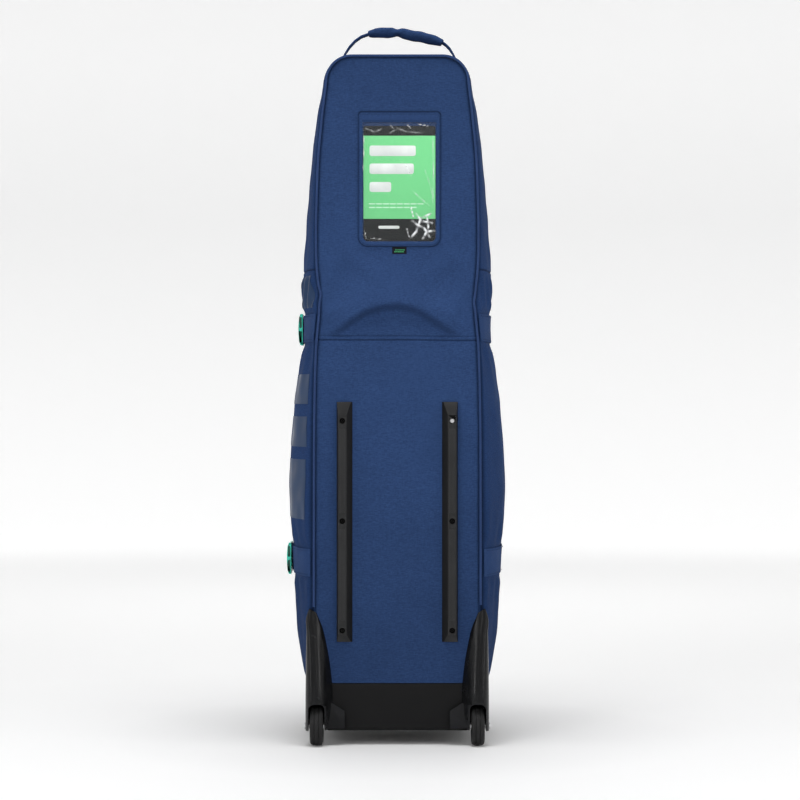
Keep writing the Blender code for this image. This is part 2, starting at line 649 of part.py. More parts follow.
def make_buckle(level, z, shell, plug_body):
    section = buckle_section(z, BUCKLE_HALF_H)
    socket = add_solid(f"buckle_socket_{level}", *prism_mesh(section, *SOCKET_Y), "green_plastic", shell)
    mouth = (ZIP_Y - 0.026, ZIP_Y + 0.010)
    cuts = [buckle_box(f"socket_mouth_{level}", z, (0.0015, 0.0064), (-0.0235, 0.0235), mouth, shell)]
    window = (SOCKET_Y[0] - 0.008, ZIP_Y - 0.036)
    for number, heights in enumerate(((-0.0230, -0.0030), (0.0030, 0.0230))):
        name = f"socket_window_{level}_{number}"
        cuts.append(buckle_box(name, z, (0.0015, 0.0062), heights, window, shell))
    boolean(socket, "DIFFERENCE", *cuts)
    section = buckle_section(z, BUCKLE_HALF_H - 0.0005)
    plug = add_solid(f"buckle_plug_{level}", *prism_mesh(section, *PLUG_Y), "green_plastic", plug_body)
    prongs = []
    for number, heights in enumerate(((-0.0215, -0.0145), (-0.0040, 0.0040), (0.0145, 0.0215))):
        reach = (ZIP_Y - 0.020, ZIP_Y + 0.010)
        prongs.append(buckle_box(f"prong_{level}_{number}", z, (0.0023, 0.0056), heights, reach, plug_body))
    window = (ZIP_Y + 0.0160, ZIP_Y + 0.0225)
    window = buckle_box(f"plug_window_{level}", z, (-0.01, 0.02), (-0.0225, 0.0225), window, plug_body)
    boolean(plug, "UNION", *prongs)
    boolean(plug, "DIFFERENCE", window)


def straight_ring(z, y):
    """One ring of the strap's straight run beside a buckle."""
    x = buckle_x(z) + STRAP_LIFT
    return [[(-(x + d), y, height) for height in strap_heights(z)] for d in (0.0, STRAP_T)]


def make_strap_tab(level, z, side, name, shell):
    """The webbing from the back seam to the zip, which runs on beneath the buckle on the left."""
    depths = [0.002, *(ZIP_Y * s for s in SHELL_SHARES[1:-1]), ZIP_Y - 0.006]
    rings = [ring_on_side(z, side, [y] * 3) for y in depths]
    add_solid(f"strap_tab_{level}_{name}", *strap_mesh(rings), "navy_webbing", shell)


def make_strap(level, z, door):
    """The webbing round the door, from the hinge to the plug that slides on its straight end."""
    edges = [door_depths(Station("side", height)) for height in strap_heights(z)]
    rings = [straight_ring(z, ZIP_Y + 0.0065), straight_ring(z, ZIP_Y + 0.058)]
    rings.append(ring_on_side(z, -1, [depths[2] for depths in edges]))
    rings.append(ring_on_corner(z, -1))
    rings += [ring_on_panel(z, share) for share in PANEL_SHARES]
    rings.append(ring_on_corner(z, 1))
    rings += [ring_on_side(z, 1, [depths[k] for depths in edges]) for k in (2, 1, 0)]
    add_solid(f"strap_{level}", *strap_mesh(rings), "navy_webbing", door)


def make_straps(shell, door, plug_bodies):
    for level, z in STRAP_LEVELS.items():
        for side, name in ((-1, "left"), (1, "right")):
            make_strap_tab(level, z, side, name, shell)
        make_strap(level, z, door)
        make_buckle(level, z, shell, plug_bodies[level])


# ---- the door -----------------------------------------------------------------------------------
POCKET_CORNER_R = 0.024


def panel_grid(lift):
    """The door's front panel as rows of points, moved forwards by lift."""
    stations = side_stations(SEAM_Z + GAP, CORNER_Z, 1)
    stations += [Station("corner", a, 1) for a in (*CORNER_ANGLES, 90)]
    rows = []
    for station in stations:
        x, y, z = station.at(station.depth(), -SKIN - GAP)
        rows.append([(x * s, y + FRONT_DOME * (1 - s**2) + lift, z) for s in PANEL_SHARES])
    return rows


def pocket_ring(z_low, z_high, half, inset, y):
    """A pocket's rounded outline at depth y."""
    radius = POCKET_CORNER_R
    points = []
    for cx, cz, start in ((half, z_low, -90), (half, z_high, 0), (-half, z_high, 90), (-half, z_low, 180)):
        mx, mz = cx - math.copysign(radius, cx), cz + (radius if cz == z_low else -radius)
        for k in range(4):
            a = math.radians(start + 30 * k)
            points.append((mx + (radius - inset) * math.cos(a), y, mz + (radius - inset) * math.sin(a)))
    return points


POCKETS = {  # lower and upper end, half-width, and how far forwards the face is
    "main_pocket": (0.375, 0.700, 0.132, MAIN_POCKET_Y),
    "hood_pocket": (0.885, 1.130, 0.098, HOOD_POCKET_Y),
}
POCKET_SLIDERS = {"main_pocket": (-0.100, 0.672), "hood_pocket": (-0.068, 1.106)}  # x and height


def make_pocket(name, z_low, z_high, half, reach, door):
    """A gusseted pocket: a hollow tray whose rim follows the door's panel."""
    wall, foot = 0.003, ZIP_Y + 0.06

    def ring(inset, y):
        return pocket_ring(z_low, z_high, half, inset, y)

    outer = [ring(0.0, foot), ring(0.0, reach - 0.008), ring(0.006, reach)]
    inner = [ring(0.006 + wall, reach - wall), ring(wall, reach - 0.008 - wall), ring(wall, foot)]
    points, faces = loft_mesh(outer + inner)
    count = len(outer[0])
    last = 5 * count
    between = [(2 * count + i, 2 * count + (i + 1) % count) for i in range(count)]
    faces = [f for f in faces[2:] if (f[0], f[1]) not in between]
    faces += [tuple(range(2 * count, 3 * count)), tuple(range(3 * count, 4 * count))]
    faces += [(i, (i + 1) % count, last + (i + 1) % count, last + i) for i in range(count)]
    pocket = add_solid(name, points, faces, "navy_fabric", door)
    room = add_solid(name + "_room", *sheet_mesh(panel_grid(0.0008), panel_grid(-0.10)), None, door)
    boolean(pocket, "DIFFERENCE", room)


def make_door(door):
    gusset("door_gusset", rim(SEAM_Z + GAP, SEAM_Z + GAP), door_depths, door)
    add_solid("door_panel", *sheet_mesh(panel_grid(0.0), panel_grid(-SKIN)), "navy_fabric", door, smooth=True)
    for name, (z_low, z_high, half, reach) in POCKETS.items():
        make_pocket(name, z_low, z_high, half, reach, door)


DOOR_HANDLE_Z = 0.832
DOOR_HANDLE_ROUTE = [(0.078, 0.0009), (0.062, 0.0009), (0.045, 0.020), (0.020, 0.030)]  # x, away from the panel


def make_door_handle(door):
    """A grab loop across the door, just above the upper strap."""
    half_w, thick = 0.014, 0.003
    route = DOOR_HANDLE_ROUTE + [(-x, away) for x, away in DOOR_HANDLE_ROUTE[::-1]]
    rings = []
    for x, away in route:
        ring = []
        for z, d in ((-half_w, 0.0), (half_w, 0.0), (half_w, thick), (-half_w, thick)):
            height = DOOR_HANDLE_Z + z
            half = side_x(height, along(DEPTH, height)) - SKIN - GAP
            ring.append((x, front_y(height, x / half) + away + d, height))
        rings.append(ring)
    add_solid("door_handle", *loft_mesh(rings), "navy_webbing", door)


# ---- main zip -----------------------------------------------------------------------------------
SLIDER_X = {"right": -0.036, "left": -0.060}
SLIDER_HALF = 0.0075
PULL_L = 0.028
PULL_T = 0.0018
PULL_PIVOT_H = 0.0078  # the pull's hinge line above the bag's top
PULL_HEEL = 0.0012  # from the hinge line to the pull's near end, short so that it clears the slider


def make_chain(name, y_low, y_high, body):
    """One side's coil, from the foot of the left side, over the top, to the hinge's upper end."""
    rings = []
    for station in rim(SEAM_Z + 0.004, 1.120):
        rings.append([station.at(y_low, 0.0004), station.at(y_low, 0.0022), station.at(y_high, 0.0022),
                      station.at(y_high, 0.0004)])
    add_solid(name, *loft_mesh(rings), "black_plastic", body)


def make_slider(name, middle, pull_way, slider_body, pull_body):
    """The slider's cap over the coils, and the pull lying flat on it."""
    base = top_z(ZIP_Y)
    low, high = middle - SLIDER_HALF, middle + SLIDER_HALF
    y_low, y_high = ZIP_Y - 0.0052, ZIP_Y + 0.0056
    section = [(y_low, 0.0006), (y_low, 0.0050), (ZIP_Y - 0.002, 0.0056), (ZIP_Y + 0.002, 0.0056),
               (y_high, 0.0050), (y_high, 0.0026), (y_low + 0.0012, 0.0026), (y_low + 0.0012, 0.0006)]
    rings = [[(x, y, base + h) for y, h in section] for x in (low, high)]
    add_solid(name, *loft_mesh(rings), "steel", slider_body)
    outline = [(-PULL_HEEL, -0.003), (0.012, -0.0035), (PULL_L, -0.005), (PULL_L + 0.003, 0.0),
               (PULL_L, 0.005), (0.012, 0.0035), (-PULL_HEEL, 0.003)]
    heights = (base + PULL_PIVOT_H - PULL_T / 2, base + PULL_PIVOT_H + PULL_T / 2)
    rings = [[(middle + pull_way * x, ZIP_Y + y, z) for x, y in outline] for z in heights]
    add_solid(name.replace("slider", "pull"), *loft_mesh(rings), "green_plastic", pull_body)


def make_pocket_slider(name, z, x, face, body):
    """A pocket's slider with its pull hanging from it."""
    section = [(-0.006, 0.0004), (-0.006, 0.0038), (0.006, 0.0038), (0.006, 0.0004)]
    points, faces = loft_mesh([[(x + a, face + d, z + h) for a, d in section] for h in (-0.005, 0.005)])
    slider = add_solid(name, points, faces, "steel", body)
    pull = box_mesh((x - 0.0035, face + 0.0010, z - 0.030), (x + 0.0035, face + 0.0030, z - 0.003))
    pull = add_solid(name + "_tab", *pull, None, body)
    boolean(slider, "UNION", pull)


# ---- top handle ---------------------------------------------------------------------------------
HANDLE_Y = 0.075
HANDLE_PIVOT_Z = 1.2500
HANDLE_ROUTE = [(-0.1005, 1.2505), (-0.0893, 1.2700), (-0.0709, 1.2885), (-0.0480, 1.2970),
                (-0.0226, 1.2995), (0.0050, 1.2985), (0.0418, 1.2930), (0.0712, 1.2855),
                (0.0854, 1.2790), (0.0970, 1.2680), (0.1070, 1.2505)]
HANDLE_STEPS = 19
HANDLE_HALF_W = 0.0125
GRIP_SPAN = (5, 15)
GRIP_HALF_T = 0.0070
GRIP_HALF_W = 0.0190


def handle_frames(count):
    """Points along the handle with the direction out from its curve."""
    places = spline([(x, HANDLE_Y, z) for x, z in HANDLE_ROUTE], count)
    found = []
    for i, place in enumerate(places):
        ahead = (places[min(i + 1, count - 1)] - places[max(i - 1, 0)]).normalized()
        found.append((place, Vector((-ahead.z, 0.0, ahead.x))))
    return found


def make_top_handle(handle):
    thick, sides = 0.0015, 12
    frames = handle_frames(HANDLE_STEPS)
    rings = []
    for place, out in frames:
        half = min(HANDLE_HALF_W, 0.0030 + 0.5 * max(place.z - HANDLE_PIVOT_Z, 0.0))
        rings.append([place + out * d + Vector((0, w, 0)) for d, w in
                      ((-thick, -half), (thick, -half), (thick, half), (-thick, half))])
    add_solid("top_handle_webbing", *loft_mesh(rings), "navy_webbing", handle)
    outer, inner = [], []
    for place, out in frames[GRIP_SPAN[0]:GRIP_SPAN[1]]:
        ring = oval_ring(GRIP_HALF_T, GRIP_HALF_W, sides)
        outer.append([place + out * d + Vector((0, w, 0)) for d, w in ring])
        ring = slot_ring(thick + GAP, HANDLE_HALF_W + GAP, sides)
        inner.append([place + out * d + Vector((0, w, 0)) for d, w in ring])
    points = [p for ring in outer + inner for p in ring]
    rows = len(outer)
    faces = []
    for k in range(sides):
        n = (k + 1) % sides
        for r in range(rows - 1):
            for first in (0, rows * sides):
                a, b = first + r * sides, first + (r + 1) * sides
                faces.append((a + k, a + n, b + n, b + k))
        for r in (0, rows - 1):
            a, b = r * sides, (rows + r) * sides
            faces.append((a + k, a + n, b + n, b + k))
    add_solid("top_handle_grip", points, faces, "navy_fabric", handle, smooth=True)


def oval_ring(half_t, half_w, sides):
    """Points round a plump oval."""
    found = []
    for k in range(sides):
        c, s = math.cos(2 * math.pi * (k + 0.5) / sides), math.sin(2 * math.pi * (k + 0.5) / sides)
        found.append((half_t * math.copysign(abs(s) ** 0.7, s), half_w * math.copysign(abs(c) ** 0.7, c)))
    return found


def slot_ring(half_t, half_w, sides):
    """Points round a flat rectangle, in step with oval_ring()."""
    found = []
    for k in range(sides):
        c, s = math.cos(2 * math.pi * (k + 0.5) / sides), math.sin(2 * math.pi * (k + 0.5) / sides)
        reach = max(abs(c), abs(s))
        found.append((half_t * s / reach, half_w * c / reach))
    return found


# ---- assembly -----------------------------------------------------------------------------------
def main():
    clear_scene()
    shell = add_body("shell")
    door = add_body("door", (HINGE_X, ZIP_Y, 0.0), shell)
    handle = add_body("top_handle", (0.0, HANDLE_Y, HANDLE_PIVOT_Z), shell)
    make_back(shell)
    make_piping(shell)
    make_base(shell)
    make_rails(shell)
    make_label(shell)
    for side, name in ((-1, "left"), (1, "right")):
        wheel = add_body(f"wheel_{name}", (side * WHEEL_X, AXLE_Y, WHEEL_R), shell)
        make_housing(side, name, shell)
        make_wheel(side, name, wheel, shell)
    plugs = {level: add_body(f"plug_{level}", (-(buckle_x(z) + BUCKLE_FACE), PLUG_Y[0], z), door)
             for level, z in STRAP_LEVELS.items()}
    make_straps(shell, door, plugs)
    make_door(door)
    make_door_handle(door)
    make_chain("zip_chain_shell", ZIP_Y - 0.0030, ZIP_Y - 0.0002, shell)
    make_chain("zip_chain_door", ZIP_Y + 0.0008, ZIP_Y + 0.0036, door)
    for name, way in (("left", -1), ("right", 1)):
        place = (SLIDER_X[name], ZIP_Y, top_z(ZIP_Y) + PULL_PIVOT_H)
        slider = add_body(f"zip_slider_{name}", place, shell)
        pull = add_body(f"zip_pull_{name}", place, slider)
        make_slider(f"zip_slider_{name}", SLIDER_X[name], way, slider, pull)
    for name, (x, z) in POCKET_SLIDERS.items():
        face = POCKETS[name][-1]
        slider = add_body(f"{name}_slider", (x, face, z), door)
        make_pocket_slider(f"{name}_slider", z, x, face, slider)
    make_top_handle(handle)


main()
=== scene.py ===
"""The looks of a wheeled travel bag for long sports equipment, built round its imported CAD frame.

Metres, +Z up. The back panel with the wheels faces -Y, where the camera stands, and the door faces +Y.
"""

import json
import math

import bmesh
import bpy
import numpy as np
from mathutils import Matrix, Vector

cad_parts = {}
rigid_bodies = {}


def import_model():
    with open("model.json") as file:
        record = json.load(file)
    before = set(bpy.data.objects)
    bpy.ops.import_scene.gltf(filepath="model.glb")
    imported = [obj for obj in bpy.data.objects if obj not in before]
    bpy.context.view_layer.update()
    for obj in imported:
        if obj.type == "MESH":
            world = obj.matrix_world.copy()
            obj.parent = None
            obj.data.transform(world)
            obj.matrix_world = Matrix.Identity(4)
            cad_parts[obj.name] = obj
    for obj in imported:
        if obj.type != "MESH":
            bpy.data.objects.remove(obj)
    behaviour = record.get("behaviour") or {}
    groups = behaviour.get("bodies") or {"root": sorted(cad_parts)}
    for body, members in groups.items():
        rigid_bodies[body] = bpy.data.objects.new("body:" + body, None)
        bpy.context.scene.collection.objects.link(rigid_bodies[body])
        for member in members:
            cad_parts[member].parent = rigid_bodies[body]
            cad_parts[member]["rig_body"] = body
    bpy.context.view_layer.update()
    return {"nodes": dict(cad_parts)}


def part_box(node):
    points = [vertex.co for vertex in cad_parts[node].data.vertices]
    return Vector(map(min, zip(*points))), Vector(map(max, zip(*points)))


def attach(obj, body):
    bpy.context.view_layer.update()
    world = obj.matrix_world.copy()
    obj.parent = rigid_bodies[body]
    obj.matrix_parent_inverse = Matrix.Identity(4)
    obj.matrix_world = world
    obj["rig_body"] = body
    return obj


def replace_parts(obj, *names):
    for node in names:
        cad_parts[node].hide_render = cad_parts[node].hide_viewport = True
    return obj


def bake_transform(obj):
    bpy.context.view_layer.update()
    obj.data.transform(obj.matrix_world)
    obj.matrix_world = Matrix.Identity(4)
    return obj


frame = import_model()

# ---- the bag's form, read from the frame --------------------------------------------------------
CORNER_R = 0.049  # the hood's rounded corners
CORNER_X = 0.083
TOP_FALL = 0.003
FRONT_FLARE = 0.004
BULGE_POWER = 0.7
FRONT_DOME = 0.008
SKIN = 0.005  # fabric, foam and lining together
NEAR = 0.0005  # two places closer than this count as one


def node_points(*names):
    found = []
    for name in names:
        mesh = frame["nodes"][name].data
        flat = np.empty(len(mesh.vertices) * 3)
        mesh.vertices.foreach_get("co", flat)
        found.append(flat.reshape(-1, 3))
    return np.vstack(found)


def middle_of(node):
    low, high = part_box(node)
    return (low + high) / 2


SHELL_POINTS = node_points("side_gusset_right", "hood_gusset")
DOOR_POINTS = node_points("door_gusset")
BACK_Y = SHELL_POINTS[:, 1].min()
ZIP_DEPTH = SHELL_POINTS[:, 1].max() - BACK_Y
TOP_Z = SHELL_POINTS[:, 2].max()
SEAM_Z = DOOR_POINTS[:, 2].min()
CORNER_Z = TOP_Z - CORNER_R
WAIST_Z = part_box("back_panel_lower")[1].z
HOOD_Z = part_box("side_gusset_right")[1].z
STRAPS = {level: middle_of(f"strap_tab_{level}_right").z for level in ("upper", "lower")}
STRAP_HALF_W = 0.025
SIDE_L = CORNER_Z - SEAM_Z
ARC_L = CORNER_R * math.pi / 2
RIM_L = 2 * (SIDE_L + ARC_L + CORNER_X)


class Profile:
    """A smooth curve through (place, value) keys."""

    def __init__(self, keys):
        places, values = np.array(sorted(keys)).T
        keep = np.append(np.diff(places) > 0.002, True)
        places, values = places[keep], values[keep]
        slopes = np.gradient(values, places)
        self.places = np.linspace(places[0], places[-1], 1200)
        i = np.clip(np.searchsorted(places, self.places) - 1, 0, len(places) - 2)
        step = places[i + 1] - places[i]
        t = (self.places - places[i]) / step
        self.values = ((2 * t**3 - 3 * t**2 + 1) * values[i] + (t**3 - 2 * t**2 + t) * step * slopes[i]
                       + (3 * t**2 - 2 * t**3) * values[i + 1] + (t**3 - t**2) * step * slopes[i + 1])

    def __call__(self, where):
        return np.interp(where, self.places, self.values)


def half_width_keys(depth):
    """The bag's half-width at one depth, at each height where the frame has points."""
    row = SHELL_POINTS[abs(SHELL_POINTS[:, 1] - BACK_Y - depth) < NEAR]
    heights = np.unique(row[:, 2].round(4))
    return [(z, row[abs(row[:, 2] - z) < NEAR][:, 0].max()) for z in heights if z < CORNER_Z + NEAR]


def depth_keys():
    heights = np.unique(DOOR_POINTS[:, 2].round(4))
    return [(z, DOOR_POINTS[abs(DOOR_POINTS[:, 2] - z) < NEAR][:, 1].max() - BACK_Y)
            for z in heights if z < CORNER_Z + NEAR]


seam_half = Profile(half_width_keys(0.0))
zip_half = Profile(half_width_keys(ZIP_DEPTH))
bag_depth = Profile(depth_keys())

PINCHES = ((-1, 0.8145, 0.0028), (1, 0.801, 0.0022))  # side, height and depth of each dent in the back seam
PINCH_REACH = 0.011


def side_x(z, y, side):
    """The bag's half-width at height z and at depth y in front of the back panel."""
    t = np.clip(y / bag_depth(z), 0.0, 1.0)
    t_zip = ZIP_DEPTH / bag_depth(z)
    bulge = (zip_half(z) - seam_half(z) - FRONT_FLARE * t_zip) / (4 * t_zip * (1 - t_zip)) ** BULGE_POWER
    pinch = sum(deep * hump(z, place, PINCH_REACH) * (side == where) for where, place, deep in PINCHES)
    fade = np.clip(1 - y / 0.030, 0, 1)
    return seam_half(z) + FRONT_FLARE * t + bulge * (4 * t * (1 - t)) ** BULGE_POWER - pinch * fade


def top_z(y):
    return TOP_Z - TOP_FALL * (y / bag_depth(CORNER_Z)) ** 2


def rim(u, y, lift=0.0):
    """Points of the outer surface: u is the length round the rim from the left foot, y the depth."""
    u, y, lift = np.broadcast_arrays(np.asarray(u, float), y, lift)
    side = np.where(u < RIM_L / 2, -1.0, 1.0)
    run = np.where(side < 0, u, RIM_L - u)
    share = np.clip((run - SIDE_L) / ARC_L, 0, 1)
    z = SEAM_Z + np.minimum(run, SIDE_L)
    inward = np.clip(run - SIDE_L - ARC_L, 0, CORNER_X)
    reach = (1 - share) * (side_x(z, y, side) - CORNER_X) + share * (top_z(y) - CORNER_Z) + lift
    turn = share * math.pi / 2
    x = CORNER_X - inward + reach * np.cos(turn)
    return np.stack([side * x, BACK_Y + y, z + reach * np.sin(turn)], axis=-1)


# ---- reliefs: how the cloth stands off its plain form -------------------------------------------
def smooth(low, high, value):
    t = np.clip((value - low) / (high - low), 0, 1)
    return t * t * (3 - 2 * t)


def hump(value, middle, width):
    """A soft hump of height 1 round a middle value."""
    return np.exp(-((value - middle) / width) ** 2)


def inset(x, z, low, high):
    """How far places lie inside a box's outline, seen from the front."""
    return np.minimum(np.minimum(x - low.x, high.x - x), np.minimum(z - low.z, high.z - z))


def ripple(a, b, size, seed):
    """An irregular ripple of about -1 to 1, with bumps of one size."""
    draw = np.random.default_rng(seed)
    total = 0.0
    for _ in range(8):
        turn, phase = draw.uniform(0, 2 * math.pi, 2)
        k = 2 * math.pi / (size * draw.uniform(0.8, 2.0))
        total = total + np.sin(k * (a * math.cos(turn) + b * math.sin(turn)) + phase)
    return total / 4


def off_line(a, b, line):
    """Distance of each point from a line, positive on its left, and the share of its length there."""
    best, at = np.full(np.shape(a), 9.0), np.zeros(np.shape(a))
    line = np.array(line)
    lengths = np.hypot(*np.diff(line, axis=0).T)
    starts = np.concatenate([[0], np.cumsum(lengths)])
    for i, (p, q) in enumerate(zip(line[:-1], line[1:])):
        d = (q - p) / lengths[i]
        t = np.clip((a - p[0]) * d[0] + (b - p[1]) * d[1], 0, lengths[i])
        x, z = a - p[0] - t * d[0], b - p[1] - t * d[1]
        away = np.hypot(x, z) * np.where(d[0] * z - d[1] * x < 0, -1, 1)
        nearer = abs(away) < abs(best)
        best = np.where(nearer, away, best)
        at = np.where(nearer, (starts[i] + t) / starts[-1], at)
    return best, at


def fold(a, b, line, height, width, right_width=None, fade=0.25):
    """A ridge along a line, fading towards its ends."""
    away, share = off_line(a, b, line)
    reach = np.where(away > 0, width, right_width or width)
    return height * hump(away, 0, reach) * smooth(0, fade, share) * smooth(0, fade, 1 - share)


def edge_roll(distance, deep, reach):
    """How far cloth sinks where it runs into a seam."""
    return -deep * (1 - smooth(0, reach, distance))


# ---- mesh helpers -------------------------------------------------------------------------------
def add_piece(name, mesh, body, materials, smooth_angle=40):
    """Puts a mesh in the scene as a piece that moves with a body."""
    for material in materials:
        mesh.materials.append(material)
    mesh.shade_smooth()
    mesh.set_sharp_from_angle(angle=math.radians(smooth_angle))
    obj = bpy.data.objects.new(name, mesh)
    bpy.context.scene.collection.objects.link(obj)
    if body:
        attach(obj, body)
    return obj


def face_outwards(build):
    bmesh.ops.recalc_face_normals(build, faces=build.faces)


def mesh_from(name, points, faces):
    mesh = bpy.data.meshes.new(name)
    mesh.from_pydata([tuple(p) for p in points], [], [tuple(int(i) for i in f) for f in faces])
    build = bmesh.new()
    build.from_mesh(mesh)
    face_outwards(build)
    build.to_mesh(mesh)
    build.free()
    return mesh


def add_values(mesh, name, values):
    attribute = mesh.attributes.new(name, "FLOAT", "POINT")
    attribute.data.foreach_set("value", np.asarray(values, np.float32).ravel())


def sheet(name, outer, inner, seam=None, lining=True):
    """A closed sheet between two equal grids of points. Its inner face has the second material, and seam
    gives the painted shade at each outer point.
    """
    outer, inner = np.asarray(outer), np.asarray(inner)
    rows, columns = outer.shape[:2]
    count = rows * columns
    at = np.arange(count).reshape(rows, columns)
    quads = np.stack([at[:-1, :-1], at[:-1, 1:], at[1:, 1:], at[1:, :-1]], axis=-1).reshape(-1, 4)
    loop = np.concatenate([at[0], at[1:, -1], at[-1, -2::-1], at[-2:0:-1, 0]])
    after = np.roll(loop, -1)
    rims = np.stack([loop, loop + count, after + count, after], axis=-1)
    mesh = mesh_from(name, np.vstack([outer.reshape(-1, 3), inner.reshape(-1, 3)]),
                     np.vstack([quads, quads[:, ::-1] + count, rims]))
    if lining:
        index = np.concatenate([np.zeros(len(quads)), np.ones(len(quads)), np.zeros(len(rims))])
        mesh.polygons.foreach_set("material_index", index.astype(np.int32))
    shade = np.zeros(2 * count) if seam is None else np.concatenate([np.ravel(seam), np.zeros(count)])
    add_values(mesh, "seam", shade)
    return mesh


def loft(name, rings, capped=True):
    """A solid through closed rings of equally many points."""
    count = len(rings[0])
    points = [p for ring in rings for p in ring]
    faces = []
    spans = len(rings) - 1 if capped else len(rings)
    for r in range(spans):
        a, b = r * count, (r + 1) % len(rings) * count
        faces += [(a + k, a + (k + 1) % count, b + (k + 1) % count, b + k) for k in range(count)]
    if capped:
        faces += [tuple(range(count)), tuple(range(len(points) - count, len(points)))]
    return mesh_from(name, points, faces)


def tube(name, route, radius, sides=10):
    """A round cord along a list of points."""
    route = [Vector(p) for p in route]
    ups = Vector((0, 1, 0))
    rings = []
    for i, place in enumerate(route):
        ahead = (route[min(i + 1, len(route) - 1)] - route[max(i - 1, 0)]).normalized()
        across = ahead.cross(ups).normalized()
        up = across.cross(ahead)
        rings.append([place + radius * (math.cos(2 * math.pi * k / sides) * across
                                        + math.sin(2 * math.pi * k / sides) * up) for k in range(sides)])
    return loft(name, rings)


def lathe(name, profile, centre, axis, steps=48):
    """A closed profile of (place along the axis, radius) turned about an axis."""
    turn = Vector(axis).to_track_quat("Z", "Y")
    rings = []
    for k in range(steps):
        a = 2 * math.pi * k / steps
        rings.append([Vector(centre) + turn @ Vector((radius * math.cos(a), radius * math.sin(a), along))
                      for along, radius in profile])
    return loft(name, rings, capped=False)


def apply_modifiers(obj):
    """Replaces a piece's mesh by what its modifiers make of it."""
    graph = bpy.context.evaluated_depsgraph_get()
    made = bpy.data.meshes.new_from_object(obj.evaluated_get(graph), depsgraph=graph)
    obj.modifiers.clear()
    obj.data = made
    return made


def copy_of(node):
    """A welded copy of a CAD node's mesh."""
    mesh = frame["nodes"][node].data.copy()
    build = bmesh.new()
    build.from_mesh(mesh)
    bmesh.ops.remove_doubles(build, verts=build.verts, dist=0.00001)
    bmesh.ops.dissolve_limit(build, angle_limit=math.radians(0.5), verts=build.verts, edges=build.edges)
    face_outwards(build)
    build.to_mesh(mesh)
    build.free()
    mesh.materials.clear()
    mesh.attributes.new("seam", "FLOAT", "POINT")
    return mesh


def remake(node, material, bevel=0.0006, segments=3):
    """A CAD node's shape with its edges rounded, standing for it."""
    mesh = copy_of(node)
    piece = add_piece(node + "_made", mesh, None, [material])
    rounding = piece.modifiers.new("rounding", "BEVEL")
    rounding.width = bevel
    rounding.segments = segments
    rounding.limit_method = "ANGLE"
    rounding.angle_limit = math.radians(28)
    rounding.use_clamp_overlap = True
    apply_modifiers(piece)
    piece.data.shade_smooth()
    piece.data.set_sharp_from_angle(angle=math.radians(50))
    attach(piece, frame["nodes"][node]["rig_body"])
    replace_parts(piece, node)
    return piece


def soften(node, material, voxel, rounds):
    """A CAD node's shape with its facets smoothed away, as moulded or stuffed."""
    mesh = copy_of(node)
    piece = add_piece(node + "_made", mesh, None, [material])
    remesh = piece.modifiers.new("remesh", "REMESH")
    remesh.mode = "VOXEL"
    remesh.voxel_size = voxel
    relax = piece.modifiers.new("relax", "SMOOTH")
    relax.iterations = rounds
    relax.factor = 0.5
    apply_modifiers(piece)
    piece.data.shade_smooth()
    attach(piece, frame["nodes"][node]["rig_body"])
    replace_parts(piece, node)
    return piece


STITCHES = {}


def stitch(body, route, normal, pitch=0.0036, length=0.0025, radius=0.00042):
    """Adds a row of stitches along a route to those of a body."""
    route = np.asarray(route, float)
    steps = np.linalg.norm(np.diff(route, axis=0), axis=1)
    places = np.concatenate([[0], np.cumsum(steps)])
    count = max(int(places[-1] / pitch), 1)
    middles = (np.arange(count) + 0.5) * places[-1] / count
    normals = np.broadcast_to(np.asarray(normal, float), route.shape)
    found = STITCHES.setdefault(body, [])
    for where in middles:
        ends = [np.array([np.interp(where + way * length / 2, places, route[:, k]) for k in range(3)])
                for way in (-1, 1)]
        up = np.array([np.interp(where, places, normals[:, k]) for k in range(3)])
        ahead = ends[1] - ends[0]
        across = np.cross(ahead, up)
        across *= radius / max(np.linalg.norm(across), 1e-9)
        up = up / np.linalg.norm(up) * radius
        centre = (ends[0] + ends[1]) / 2 + up * 0.4
        found.append([ends[0] - up, ends[1] - up, centre + across, centre - across,
                      centre + up, centre - up])


def stitch_round(body, u, depth, lift):
    """A row of stitches on the bag's side or top, raised by lift."""
    route = rim(u, depth, lift)
    stitch(body, route, rim(u, depth, lift + 0.01) - route)


def add_stitches(material):
    """One piece of thread for each body."""
    corners = [(0, 2, 4), (0, 4, 3), (0, 3, 5), (0, 5, 2), (1, 4, 2), (1, 3, 4), (1, 5, 3), (1, 2, 5)]
    for body, found in STITCHES.items():
        points = [p for one in found for p in one]
        faces = [[6 * i + k for k in corner] for i in range(len(found)) for corner in corners]
        mesh = mesh_from("stitches", points, faces)
        add_piece(f"stitches_{body}", mesh, body, [material])


# ---- materials ----------------------------------------------------------------------------------
SHEEN_BLUE = (0.55, 0.68, 1.0, 1.0)
FOOT_SHADE = (0.12, 0.60)  # painted shade: the cloth darkens from the second height down to the first
HOOD_SHADE = (0.85, 1.20)  # and from the first of these up to the second


